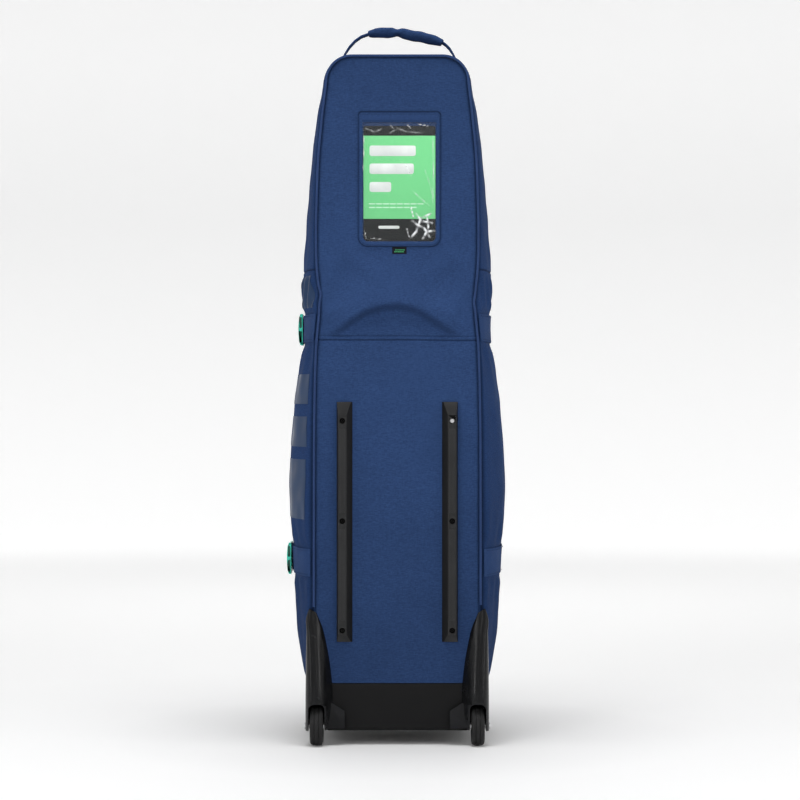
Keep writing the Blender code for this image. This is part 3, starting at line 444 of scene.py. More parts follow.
class Finish:
    """A Principled material with short ways to add nodes to it."""

    def __init__(self, name, colour, roughness, metallic=0.0):
        self.material = bpy.data.materials.new(name)
        self.material.use_nodes = True
        self.tree = self.material.node_tree
        self.shader = self.tree.nodes["Principled BSDF"]
        self.colour = (*colour, 1.0)
        self.set("Base Color", self.colour)
        self.set("Roughness", roughness)
        self.set("Metallic", metallic)
        self.places = self.node("TexCoord").outputs["Object"]

    def set(self, socket, value):
        self.shader.inputs[socket].default_value = value

    def node(self, kind, operation=None):
        made = self.tree.nodes.new("ShaderNode" + kind)
        if operation:
            made.operation = operation
        return made

    def link(self, source, target):
        self.tree.links.new(source, target)
        return target

    def math(self, operation, a, b=0.0, clamp=False):
        made = self.node("Math", operation)
        made.use_clamp = clamp
        for socket, value in zip(made.inputs, (a, b)):
            if isinstance(value, (int, float)):
                socket.default_value = value
            else:
                self.link(value, socket)
        return made.outputs[0]

    def noise(self, scale, stretch=(1, 1, 1), detail=2.0):
        """Noise of about 0 to 1, drawn out along the axes whose stretch is small."""
        mapping = self.node("Mapping")
        mapping.inputs["Scale"].default_value = stretch
        self.link(self.places, mapping.inputs["Vector"])
        made = self.node("TexNoise")
        made.inputs["Scale"].default_value = scale
        made.inputs["Detail"].default_value = detail
        self.link(mapping.outputs[0], made.inputs["Vector"])
        return made.outputs[0]

    def spread(self, value, low, high, start=0.3, end=0.7):
        """A value between start and end taken to between two numbers."""
        made = self.node("MapRange")
        made.inputs["From Min"].default_value = start
        made.inputs["From Max"].default_value = end
        made.inputs["To Min"].default_value = low
        made.inputs["To Max"].default_value = high
        self.link(value, made.inputs["Value"])
        return made.outputs[0]

    def attribute(self, name):
        made = self.node("Attribute")
        made.attribute_name = name
        return made.outputs["Fac"]

    def axes(self):
        """The place's x, y and z."""
        split = self.node("SeparateXYZ")
        self.link(self.places, split.inputs[0])
        return split.outputs

    def seam_shade(self, deep):
        """1 on open cloth, less by this share where shade is painted into seams and creases."""
        return self.math("SUBTRACT", 1.0, self.math("MULTIPLY", self.attribute("seam"), deep))

    def sheen(self, weight, roughness):
        self.set("Sheen Weight", weight)
        self.set("Sheen Roughness", roughness)
        self.set("Sheen Tint", SHEEN_BLUE)

    def tint(self, *shares):
        """Multiplies the base colour by these values."""
        product = shares[0]
        for share in shares[1:]:
            product = self.math("MULTIPLY", product, share)
        scale = self.node("VectorMath", "SCALE")
        scale.inputs[0].default_value = self.colour[:3]
        self.link(product, scale.inputs["Scale"])
        self.link(scale.outputs[0], self.shader.inputs["Base Color"])

    def roughen(self, value, low, high):
        self.link(self.spread(value, low, high), self.shader.inputs["Roughness"])

    def bump(self, height, strength, distance):
        made = self.node("Bump")
        made.inputs["Strength"].default_value = strength
        made.inputs["Distance"].default_value = distance
        self.link(height, made.inputs["Height"])
        self.link(made.outputs[0], self.shader.inputs["Normal"])

    def lattice(self, pitch):
        """Over-and-under threads: a fine lattice that shows on faces of every direction."""
        x, y, z = self.axes()
        k = 2 * math.pi / pitch
        waves = []
        for main, lean in ((x, 0.83), (z, 0.57)):
            place = self.math("ADD", main, self.math("MULTIPLY", y, lean))
            waves.append(self.math("SINE", self.math("MULTIPLY", place, k)))
        return self.math("MULTIPLY", *waves)


def heathered_fabric(name, colour, flat=0.15, upright=0.08):
    """Woven polyester of two tones of thread, with painted shade in its seams, low down and at the hood."""
    made = Finish(name, colour, 0.82)
    flat_threads = made.noise(1.0, (190, 190, 760), 2.0)
    upright_threads = made.noise(1.0, (760, 760, 130), 2.0)
    cloud = made.noise(7.0, detail=3.0)
    height = made.axes()[2]
    made.tint(made.spread(height, 0.80, 1.0, *FOOT_SHADE),
              made.spread(height, 1.0, 0.86, *HOOD_SHADE),
              made.spread(flat_threads, 1 - flat, 1 + flat),
              made.spread(upright_threads, 1 - upright, 1 + upright),
              made.spread(cloud, 0.94, 1.06), made.seam_shade(0.62))
    made.roughen(upright_threads, 0.74, 0.90)
    made.set("Specular IOR Level", 0.03)
    made.sheen(0.02, 0.45)
    grain = made.math("ADD", made.lattice(0.0011), made.math("MULTIPLY", flat_threads, 1.4))
    made.bump(grain, 0.28, 0.0003)
    return made.material


def webbing(name, colour):
    """Tightly woven tape with ribs."""
    made = Finish(name, colour, 0.70)
    threads = made.noise(1.0, (240, 240, 900), 2.0)
    made.tint(made.spread(threads, 0.86, 1.14), made.spread(made.noise(30.0), 0.95, 1.05),
              made.seam_shade(0.5))
    made.set("Specular IOR Level", 0.02)
    made.sheen(0.01, 0.4)
    made.bump(made.math("ADD", made.lattice(0.0019), threads), 0.5, 0.0004)
    return made.material


def moulded_plastic(name, colour, rough, fineness=900.0, grain=0.25, coat=0.0, wear=0.35, specular=0.4):
    """Moulded plastic with a fine grain, slight mottling and paler edges."""
    made = Finish(name, colour, rough)
    fine, broad = made.noise(fineness, detail=3.0), made.noise(26.0, detail=4.0)
    edges = made.node("NewGeometry").outputs["Pointiness"]
    worn = made.math("MULTIPLY", made.math("SUBTRACT", edges, 0.53, clamp=True), 14 * wear, clamp=True)
    made.tint(made.spread(broad, 0.88, 1.12), made.math("ADD", 1.0, worn))
    made.roughen(broad, rough - 0.07, rough + 0.09)
    made.set("Specular IOR Level", specular)
    made.set("Coat Weight", coat)
    made.set("Coat Roughness", 0.16)
    made.bump(fine, grain, 0.0002)
    return made.material


def brushed_metal(name, colour, rough):
    made = Finish(name, colour, rough, 1.0)
    streaks = made.noise(1.0, (900, 90, 90), 2.0)
    made.tint(made.spread(streaks, 0.9, 1.08))
    made.roughen(streaks, rough - 0.08, rough + 0.12)
    made.bump(streaks, 0.15, 0.0001)
    return made.material


def clear_vinyl(name):
    """Clear soft film: mostly see-through, with glare painted white along its creases."""
    made = Finish(name, (0.93, 0.95, 0.97), 0.07)
    made.set("Specular IOR Level", 0.18)
    crease_glare = made.attribute("crease_glare")
    facing = made.node("LayerWeight")
    facing.inputs["Blend"].default_value = 0.25
    # some real haze, plus painted reflection that grows towards grazing angles
    haze_and_reflection = made.math("ADD", made.math("MULTIPLY", facing.outputs["Facing"], 0.10), 0.010)
    # painted glare: the film is drawn opaque white along its creases
    solid = made.math("ADD", haze_and_reflection, made.math("MULTIPLY", crease_glare, 0.9), clamp=True)
    made.link(solid, made.shader.inputs["Alpha"])
    made.bump(made.noise(45.0, detail=3.0), 0.35, 0.0012)
    return made.material


def printed_card(name, green, black, band_low, band_high):
    """Card with a green field between two black bands."""
    made = Finish(name, green, 0.55)
    height = made.axes()[2]
    inside = made.math("MULTIPLY", made.math("GREATER_THAN", height, band_low),
                       made.math("LESS_THAN", height, band_high))
    mix = made.node("Mix")
    mix.data_type = "RGBA"
    made.link(inside, mix.inputs["Factor"])
    colours = [socket for socket in mix.inputs if socket.type == "RGBA"]
    colours[0].default_value = (*black, 1.0)
    colours[1].default_value = (*green, 1.0)
    shade = made.node("VectorMath", "SCALE")
    made.link([s for s in mix.outputs if s.type == "RGBA"][0], shade.inputs[0])
    made.link(made.spread(made.noise(400.0), 0.96, 1.04), shade.inputs["Scale"])
    made.link(shade.outputs[0], made.shader.inputs["Base Color"])
    made.roughen(made.noise(120.0), 0.48, 0.60)
    made.set("Specular IOR Level", 0.12)
    made.bump(made.noise(1500.0), 0.1, 0.0001)
    return made.material


FABRIC = heathered_fabric("heathered_navy", (0.0245, 0.0525, 0.139))
# the bag's navy cloth drawn darker for the cloth round its rim, as painted shade
SHADED_GUSSET_FABRIC = heathered_fabric("heathered_navy_gusset_shaded", (0.0155, 0.0375, 0.110))
WEBBING = webbing("navy_tape", (0.0225, 0.0480, 0.1290))
CORD_FABRIC = webbing("piping_tape", (0.028, 0.053, 0.138))
THREAD = webbing("thread", (0.013, 0.024, 0.062))
LINING = heathered_fabric("grey_lining", (0.045, 0.047, 0.052), 0.06, 0.06)
FILM_PRINT = moulded_plastic("gloss_film", (0.022, 0.043, 0.094), 0.38,
                             fineness=240, grain=0.1, wear=0.0, specular=0.05)
BASE_PLASTIC = moulded_plastic("base_plastic", (0.0070, 0.0070, 0.0074), 0.55,
                               fineness=700, grain=0.35, wear=0.5, specular=0.12)
RAIL_PLASTIC = moulded_plastic("rail_plastic", (0.0170, 0.0172, 0.0180), 0.40,
                               fineness=1100, wear=0.8, specular=0.2)
HOUSING_PLASTIC = moulded_plastic("housing_plastic", (0.0050, 0.0052, 0.0059), 0.20,
                                  fineness=1400, grain=0.05, wear=0.4, specular=0.16)
DARK_PLASTIC = moulded_plastic("dark_plastic", (0.012, 0.012, 0.013), 0.45)
MINT_PLASTIC = moulded_plastic("mint_plastic", (0.020, 0.46, 0.33), 0.28,
                               fineness=1500, grain=0.05, coat=0.4, wear=0.3)
RUBBER = moulded_plastic("tyre_rubber", (0.0135, 0.0135, 0.0138), 0.66,
                         fineness=500, grain=0.5, wear=0.5, specular=0.2)
# the rail's own plastic drawn darker, as painted shade on its flanks
SHADED_RAIL_FLANK = moulded_plastic("rail_flank_shaded", (0.0065, 0.0066, 0.0070), 0.46,
                             fineness=1100, wear=0.5, specular=0.12)
# near-black for the sunk screws and, as painted shade, for the counterbores round them
BLACK_SCREW_AND_HOLE_SHADE = moulded_plastic("black_screw_and_hole_shade", (0.0012, 0.0012, 0.0013), 0.40,
                              fineness=1800, grain=0.1, wear=0.3, specular=0.08)
STEEL = brushed_metal("zinc_steel", (0.62, 0.62, 0.63), 0.30)
BLACK_STEEL = brushed_metal("blackened_steel", (0.09, 0.09, 0.095), 0.32)
COIL = moulded_plastic("zip_coil", (0.014, 0.014, 0.016), 0.35, grain=0.2, coat=0.2, wear=0.6)
TAPE = webbing("zip_tape", (0.012, 0.013, 0.018))
WHITE_PRINT = moulded_plastic("white_print", (0.66, 0.70, 0.68), 0.55, grain=0.1, wear=0.0)
FINE_PRINT = moulded_plastic("fine_print", (0.50, 0.80, 0.58), 0.55, grain=0.1, wear=0.0)
VINYL = clear_vinyl("clear_vinyl")
GREEN_THREAD = webbing("green_thread", (0.10, 0.55, 0.22))
BOARD = moulded_plastic("pressed_board", (0.050, 0.047, 0.042), 0.8, fineness=300, grain=0.4, wear=0.4)
GREEN_BAND = (0.9515, 1.1017)
CARD = printed_card("printed_card", (0.165, 0.60, 0.245), (0.012, 0.014, 0.014), *GREEN_BAND)
PRINT_BARS = (  # plain bars on the card: left, right, bottom and top, and corner radius
    (-0.0500, 0.0335, 1.0650, 1.0840, 0.004), (-0.0500, 0.0300, 1.0325, 1.0515, 0.004),
    (-0.0500, -0.0110, 1.0000, 1.0180, 0.004), (-0.0340, 0.0040, 0.9335, 0.9390, 0.0026))
PRINT_LINES = ((-0.0510, 0.0600, 0.9785), (-0.0510, 0.0480, 0.9720))


# ---- back panel and piping ----------------------------------------------------------------------
PIPING_R = 0.0022
PIPING_INSET = 0.0025
PANEL_INSET = 0.0032
BACK_RUN = SIDE_L + ARC_L
WAIST_STITCH_LIFT = 0.0075  # from the seam across the waist up to its top-stitching
ARCH = ((-0.131, 0.741), (-0.112, 0.751), (-0.085, 0.770), (-0.058, 0.787), (-0.030, 0.7955), (0.000, 0.798),
        (0.026, 0.794), (0.050, 0.783), (0.074, 0.767), (0.098, 0.753), (0.122, 0.744))
ARCH_H = 0.0165
ARCH_REACH = (0.046, 0.0090)  # the arch falls off gently above and steeply below
SOFT_FOLDS = (  # start, end, height and width of folds on the upper back panel
    ((-0.016, 0.835), (-0.112, 0.905), 0.0042, 0.017),
    ((0.030, 0.828), (0.118, 0.898), 0.0044, 0.018),
    ((0.062, 0.800), (0.136, 0.748), 0.0030, 0.010),
    ((-0.078, 0.812), (-0.138, 0.768), 0.0028, 0.012),
    ((0.112, 0.890), (0.136, 0.800), 0.0034, 0.013),
    ((-0.108, 0.890), (-0.132, 0.800), 0.0034, 0.013),
)


def waist_drop(x):
    """How much lower the seam across the waist runs on the right."""
    return 0.0012 * smooth(0, 0.15, x)


def flat_zones(x, z):
    """From 0 where a rail or the label pocket holds the back panel flat to 1 where it is free."""
    free = np.ones(np.shape(x))
    for node, margin in (("skid_rail_left", 0.008), ("skid_rail_right", 0.008), ("label_frame", 0.012),
                         ("wheel_housing_left", 0.006), ("wheel_housing_right", 0.006)):
        low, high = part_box(node)
        away = np.maximum(np.maximum(low.x - x, x - high.x), np.maximum(low.z - z, z - high.z))
        free = free * smooth(0.0, margin, away)
    return free


def rim_distance(x, z):
    """How far a point of the back panel is from the panel's edge."""
    beside = seam_half(z) - abs(x)
    above = TOP_Z - z
    corner = CORNER_R - np.hypot(abs(x) - CORNER_X, z - CORNER_Z)
    in_corner = (abs(x) > CORNER_X) & (z > CORNER_Z)
    return np.where(in_corner, corner, np.minimum(beside, above)) - PANEL_INSET


def back_relief(x, z):
    """How far the back panel stands out, away from the bag."""
    free = flat_zones(x, z)
    out = free * (0.0009 * ripple(x, z, 0.12, 3) + 0.0004 * ripple(x, z, 0.045, 4))
    arch_away, _ = off_line(x, z, ARCH)
    out = out + fold(x, z, ARCH, ARCH_H, *ARCH_REACH, 0.20)
    out = out - fold(x, z, ARCH, 0.0020, 0.010, 0.030) * (arch_away < 0)
    for start, end, height, width in SOFT_FOLDS:
        out = out + fold(x, z, (start, end), height, width)
    away = z - WAIST_Z + waist_drop(x)
    out = out * smooth(0.0, 0.020, abs(away))
    out = out - 0.0013 * hump(away, 0, 0.0014) - 0.0007 * hump(away, WAIST_STITCH_LIFT, 0.0016)
    out = out + 0.0007 * hump(away, 0.0040, 0.0028)
    return out + edge_roll(rim_distance(x, z), 0.0026, 0.0065)


def back_seam_shade(x, z):
    """Painted shade, from 0 to 1, where the back panel's cloth runs into a seam and under the arch's fold.
    """
    away = z - WAIST_Z + waist_drop(x)
    shade = 0.75 * hump(away, 0, 0.0011) + 0.45 * hump(away, WAIST_STITCH_LIFT, 0.0012)
    # painted shade beneath the arch's steep lower side, fading towards its ends
    below_arch, share = off_line(x, z, ARCH)
    ends = smooth(0, 0.12, share) * smooth(0, 0.12, 1 - share)
    shade = shade + 0.50 * ends * hump(below_arch, -0.0060, 0.0062)
    return np.clip(shade + 1.0 - smooth(0.0, 0.0040, rim_distance(x, z)), 0, 1)


def panel_rows(low, high, step):
    """Lengths up the rim for the back panel's rows, closer together at the waist and in the corners."""
    runs = np.arange(low, high, step)
    fine = WAIST_Z - SEAM_Z + np.arange(-0.012, 0.0161, 0.001)
    corner = SIDE_L + ARC_L * np.linspace(0, 1, 26)
    top = BACK_RUN - np.array([0.010, 0.007, 0.0045, 0.0025, 0.001])
    runs = np.concatenate([runs, fine, corner, top, [low, high]])
    return np.unique(runs[(runs >= low) & (runs <= high)].round(5))


def back_panel(name, low, high, replaced):
    runs = panel_rows(low, high, 0.004)
    edge = 1 - np.array([0, 0.006, 0.012, 0.018, 0.025, 0.033, 0.042])
    shares = np.unique(np.concatenate([-edge, edge, np.linspace(-0.94, 0.94, 71)]).round(5))
    rims = rim(runs, 0.0, -PANEL_INSET)
    half, height = abs(rims[:, 0]), rims[:, 2]
    x = half[:, None] * shares[None, :]
    z = np.broadcast_to(height[:, None], x.shape)
    out = back_relief(x, z)
    outer = np.stack([x, BACK_Y - out, z], axis=-1)
    inner = np.stack([x * 0.985, np.full(x.shape, BACK_Y + SKIN), z], axis=-1)
    piece = add_piece(name, sheet(name, outer, inner, back_seam_shade(x, z)), "shell",
                      [FABRIC, LINING])
    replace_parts(piece, replaced)
    return piece


def make_back():
    waist = WAIST_Z - SEAM_Z
    back_panel("back_cloth_lower", 0.0, waist - 0.0001, "back_panel_lower")
    back_panel("back_cloth_upper", waist + 0.0001, BACK_RUN, "back_panel_upper")
    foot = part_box("back_piping")[0].z - SEAM_Z
    runs = np.arange(foot, RIM_L - foot, 0.004)
    route = rim(runs, -PIPING_INSET, -PIPING_INSET)
    route[:, 1] = BACK_Y - PIPING_INSET + 0.0003
    cord = tube("piping_cord", route, PIPING_R, 12)
    add_values(cord, "seam", np.zeros(len(cord.vertices)))
    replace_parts(add_piece("piping_cord", cord, "shell", [CORD_FABRIC]), "back_piping")
    x = np.linspace(-0.142, 0.142, 120)
    z = WAIST_Z + WAIST_STITCH_LIFT - waist_drop(x)
    stitch("shell", np.stack([x, BACK_Y - back_relief(x, z), z], axis=-1), (0, -1, 0))


# ---- side, hood and door cloth ------------------------------------------------------------------
FILM_BANDS = ((0.617, 0.671), (0.539, 0.594), (0.407, 0.516))  # generic gloss bands on the left side
STRAP_EASE = 0.022  # how far from a strap's edge the cloth is free again
PUCKER_H = 0.0022  # puckers above and below each strap
PUCKER_L = 0.047
PUCKER_REACH = 0.045
CRUMPLE_Z = (0.775, 0.795)  # from here up to the hood's seam the side cloth hangs in leaning folds
CRUMPLE_H = (0.0034, 0.0018)  # on the left and on the right
CRUMPLE_L = 0.034


def strap_press(z):
    """From 1 at a strap, which holds the cloth flat, to 0 away from it."""
    return sum(1 - smooth(STRAP_HALF_W, STRAP_HALF_W + STRAP_EASE, abs(z - level))
               for level in STRAPS.values())


def side_relief(u, y, side):
    """How far the side cloth stands out. It is flat at the zip and beneath the straps."""
    run = np.where(u < RIM_L / 2, u, RIM_L - u)
    z = SEAM_Z + run
    low_part = 1 - smooth(SIDE_L - 0.05, SIDE_L, run)
    out = 0.0011 * ripple(z, y, 0.10, 11) + 0.0005 * ripple(z, y, 0.035, 12)
    for level in STRAPS.values():
        for way in (-1, 1):
            away = way * (z - level) - STRAP_HALF_W
            near = hump(np.maximum(away, 0), 0, PUCKER_REACH) * (away > 0)
            drift = 0.25 * away * np.sin(way * 2.1 + level * 9)
            wave = np.sin(2 * math.pi * (y + drift) / PUCKER_L + 5 * level + way)
            out = out + PUCKER_H * near * wave * low_part
    crumple = smooth(*CRUMPLE_Z, z) * (1 - smooth(HOOD_Z - 0.022, HOOD_Z - 0.004, z)) * low_part
    lean = y + 0.55 * (z - 0.80)
    height = np.where(side < 0, *CRUMPLE_H)
    out = out + crumple * height * np.sin(2 * math.pi * lean / CRUMPLE_L + 0.8)
    out = out + 0.0013 * low_part * np.sin(2 * math.pi * (y + 0.10 * (z - 0.5)) / 0.085 + 2.2)
    out = out * smooth(0.0, 0.014, abs(y - ZIP_DEPTH)) * smooth(0, 0.012, y) * (1 - 0.9 * strap_press(z))
    out = out - 0.0012 * strap_press(z) * smooth(0.0, 0.02, y) * smooth(0.0, 0.014, abs(y - ZIP_DEPTH))
    return out * smooth(0, 0.012, run)


def hood_seam(run):
    return hump(SEAM_Z + run, HOOD_Z, 0.0016)


def rim_cloth(name, u, depths, body, replaced, roll_back, roll_front, face):
    """A strip of side cloth. depths(u) gives the strip's depths at each length round the rim."""
    grid_u = np.broadcast_to(u[:, None], (len(u), len(depths(u[:1])[0])))
    grid_y = depths(u)
    side = np.where(grid_u < RIM_L / 2, -1.0, 1.0)
    run = np.where(side < 0, grid_u, RIM_L - grid_u)
    from_back = grid_y - grid_y[:, :1]
    from_front = grid_y[:, -1:] - grid_y
    roll = edge_roll(from_back, *roll_back) + edge_roll(from_front, *roll_front)
    out = side_relief(grid_u, grid_y, side) + roll - 0.0014 * hood_seam(run)
    shade = 0.9 * hood_seam(run)
    if roll_back[0] > 0.001:
        shade = shade + 1 - smooth(0.0005, 0.0065, from_back)
    if roll_front[0] > 0.001:
        shade = shade + 1 - smooth(0.0, 0.003, from_front)
    outer = rim(grid_u, grid_y, out)
    inner = rim(grid_u, grid_y, -SKIN)
    mesh = sheet(name, outer, inner, np.clip(shade, 0, 1))
    piece = add_piece(name, mesh, body, [face, LINING])
    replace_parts(piece, *replaced)
    return piece


def fine_lengths(low, high, step=0.004):
    """Lengths round the rim, closer together at the hood's seams."""
    seams = [HOOD_Z - SEAM_Z, RIM_L - HOOD_Z + SEAM_Z]
    fine = np.concatenate([place + np.arange(-0.005, 0.0051, 0.001) for place in seams])
    found = np.concatenate([np.arange(low, high, step), fine, [high]])
    return np.unique(found[(found >= low) & (found <= high)].round(5))


def shell_depths(u):
    near = np.array([0, 0.0006, 0.0014, 0.0024, 0.0036, 0.005, 0.0068, 0.009, 0.012])
    far = ZIP_DEPTH - np.array([0.008, 0.005, 0.0025, 0.001, 0])
    row = np.concatenate([near, np.linspace(0.016, ZIP_DEPTH - 0.012, 40), far])
    return np.broadcast_to(row, (len(u), len(row)))


def depth_at(u):
    run = np.minimum(u, RIM_L - u)
    return bag_depth(SEAM_Z + np.minimum(run, SIDE_L))


def door_depths(u):
    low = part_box("door_gusset")[0].y - BACK_Y
    middle = np.linspace(0.08, 0.92, 22)
    shares = np.concatenate([[0, 0.01, 0.025, 0.05], middle, [0.95, 0.97, 0.985, 0.995, 1]])
    return low + (depth_at(u)[:, None] - low) * shares[None, :]


def make_sides():
    hood = HOOD_Z - SEAM_Z
    none = (0.0, 0.001)
    seam_roll = (0.0022, 0.0070)
    rim_cloth("side_cloth_left", fine_lengths(0.0, hood), shell_depths, "shell", ["side_gusset_left"],
              seam_roll, none, SHADED_GUSSET_FABRIC)
    rim_cloth("side_cloth_right", fine_lengths(RIM_L - hood, RIM_L), shell_depths, "shell",
              ["side_gusset_right"], seam_roll, none, SHADED_GUSSET_FABRIC)
    rim_cloth("hood_cloth", fine_lengths(hood + 0.0002, RIM_L - hood - 0.0002), shell_depths, "shell",
              ["hood_gusset"], seam_roll, none, SHADED_GUSSET_FABRIC)
    rim_cloth("door_side_cloth", fine_lengths(0.0, RIM_L), door_depths, "door", ["door_gusset"],
              none, (0.0030, 0.0080), SHADED_GUSSET_FABRIC)


def film_band(name, low, high, y_low, y_high):
    """A plain gloss band heat-pressed on the left side cloth."""
    u = np.linspace(low, high, int((high - low) / 0.002)) - SEAM_Z
    y = np.linspace(y_low, y_high, 90)
    grid_u, grid_y = np.meshgrid(u, y, indexing="ij")
    relief = side_relief(grid_u, grid_y, -1.0)
    outer, inner = rim(grid_u, grid_y, relief + 0.0008), rim(grid_u, grid_y, relief + 0.0002)
    add_piece(name, sheet(name, outer, inner, lining=False), "shell", [FILM_PRINT])


def make_film():
    for number, (low, high) in enumerate(FILM_BANDS, 1):
        film_band(f"gloss_band_{number}", low, high, 0.014, 0.150)
    film_band("gloss_band_4", 0.792, 0.850, 0.014, 0.120)


# ---- the door's front ---------------------------------------------------------------------------
DOOR_STITCH_INSET = 0.010
DOOR_STITCH_SHIFT = 0.004  # the door is this much wider than the zip, whose depth the route starts from


def door_front(x, z):
    """The door's outer face."""
    half = side_x(np.minimum(z, CORNER_Z), bag_depth(z), 1.0) - SKIN
    share = np.clip(x / half, -1, 1)
    return BACK_Y + bag_depth(np.minimum(z, CORNER_Z)) + FRONT_DOME * (1 - share**2)


def door_relief(x, z, edge):
    out = 0.0010 * ripple(x, z, 0.13, 21) + 0.0005 * ripple(x, z, 0.05, 22)
    free = 1 - 0.85 * strap_press(z)
    for node in ("main_pocket", "hood_pocket", "door_handle"):
        low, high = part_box(node)
        away = np.maximum(np.maximum(low.x - x, x - high.x), np.maximum(low.z - z, z - high.z))
        free = free * smooth(-0.004, 0.016, away)
    return out * free + edge_roll(edge, 0.0040, 0.0090)


def make_door_front():
    """The domed front panel, in rows up the door's edge."""
    runs = np.unique(np.concatenate([np.arange(0, SIDE_L, 0.005), SIDE_L + ARC_L * np.linspace(0, 1, 24)]))
    depth = depth_at(runs)
    rims = rim(runs, depth, -0.0008)
    edge = 1 - np.array([0, 0.008, 0.017, 0.028, 0.042])
    shares = np.unique(np.concatenate([-edge, edge, np.linspace(-0.94, 0.94, 61)]).round(5))
    x = abs(rims[:, 0])[:, None] * shares[None, :]
    z = np.broadcast_to(rims[:, 2][:, None], x.shape)
    corner = CORNER_R - np.hypot(abs(x) - CORNER_X, z - CORNER_Z)
    beside = abs(rims[:, 0])[:, None] - abs(x)
    distance = np.where((abs(x) > CORNER_X) & (z > CORNER_Z), corner, np.minimum(beside, rims[-1, 2] - z))
    out = door_relief(x, z, distance)
    y = BACK_Y + depth[:, None] + FRONT_DOME * (1 - shares[None, :] ** 2)
    outer = np.stack([x, y + out, z], axis=-1)
    inner = np.stack([x * 0.97, y - SKIN, z - 0.018 * smooth(CORNER_Z - 0.05, CORNER_Z + 0.03, z)], axis=-1)
    shade = np.clip(1 - smooth(0, 0.004, distance), 0, 1)
    piece = add_piece("door_front_cloth", sheet("door_front", outer, inner, shade), "door",
                      [FABRIC, LINING])
    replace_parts(piece, "door_panel")
    lengths = np.arange(0.0, RIM_L + 0.001, 0.004)
    cord = tube("door_cord", rim(lengths, depth_at(lengths) - 0.0004, -0.0021), PIPING_R, 10)
    add_values(cord, "seam", np.zeros(len(cord.vertices)))
    add_piece("door_cord", cord, "door", [CORD_FABRIC])
    route = rim(np.arange(0.01, RIM_L - 0.01, 0.004), 0, -DOOR_STITCH_INSET)
    y_face = door_front(route[:, 0], np.minimum(route[:, 2], CORNER_Z))
    out = door_relief(route[:, 0], route[:, 2], np.full(len(route), DOOR_STITCH_INSET))
    route[:, 0] += DOOR_STITCH_SHIFT * np.sign(route[:, 0])
    route[:, 1] = y_face + out
    stitch("door", route, (0, 1, 0))


# ---- fabric across the hinge --------------------------------------------------------------------
HINGE_TOP = 1.120
HINGE_FOOT = 0.116
HINGE_HALF = 0.009
HINGE_STITCH_OFF = 0.0075
STRIP_T = 0.0008


def make_hinge_strip():
    """The strip of cloth that carries the door, with a slight crease along the door's joint."""
    u = np.unique(np.concatenate([np.arange(RIM_L - HINGE_TOP + SEAM_Z, RIM_L - HINGE_FOOT + SEAM_Z, 0.006),
                                  [RIM_L - HINGE_FOOT + SEAM_Z]]))
    y = ZIP_DEPTH + np.linspace(-HINGE_HALF, HINGE_HALF, 19)
    grid_u, grid_y = np.meshgrid(u, y, indexing="ij")
    share = (grid_y - ZIP_DEPTH) / HINGE_HALF
    lift = 0.0012 - 0.0010 * share**6 - 0.0006 * hump(share, 0, 0.12)
    shade = np.clip(0.8 * hump(share, 0, 0.10) + 0.5 * smooth(0.9, 1.0, abs(share)), 0, 1)
    outer, inner = rim(grid_u, grid_y, lift), rim(grid_u, grid_y, lift - STRIP_T)
    mesh = sheet("hinge_strip", outer, inner, shade, lining=False)
    mesh.materials.append(SHADED_GUSSET_FABRIC)
    mesh.shade_smooth()
    strip = bpy.data.objects.new("hinge_strip", mesh)
    bpy.context.scene.collection.objects.link(strip)
    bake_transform(strip)
    for way, body in ((-1, "shell"), (1, "door")):
        stitch_round(body, u, ZIP_DEPTH + way * HINGE_STITCH_OFF, 0.0009)


# ---- zips ---------------------------------------------------------------------------------------
TOOTH = (0.0015, 0.0024, 0.0017)  # a turn of coil: its size along the row, across it and outwards
TOOTH_PITCH = 0.0022
ZIP_FOOT = 0.004
ZIP_TAPE_EDGES = np.array([-0.0012, 0.0, 0.0040, 0.0065])  # across the door's tape, from its row of coil
TAPE_STITCH_OFF = 0.0088


def teeth(name, places, normals, across, body, tooth=TOOTH):
    """A row of coil turns: places along the row, each with its normal and the direction across the row."""
    points, faces = [], []
    corners = [(0, 2, 4), (2, 1, 4), (1, 3, 4), (3, 0, 4), (2, 0, 5), (1, 2, 5), (3, 1, 5), (0, 3, 5)]
    for i, place in enumerate(places):
        up = normals[i] / np.linalg.norm(normals[i])
        side = across[i] / np.linalg.norm(across[i])
        ahead = np.cross(side, up)
        n = 6 * i
        points += [place - ahead * tooth[0] / 2, place + ahead * tooth[0] / 2, place - side * tooth[1] / 2,
                   place + side * tooth[1] / 2, place + up * tooth[2] / 2, place - up * tooth[2] / 2]
        faces += [(n + a, n + b, n + c) for a, b, c in corners]
    return add_piece(name, mesh_from(name, points, faces), body, [COIL], 60)


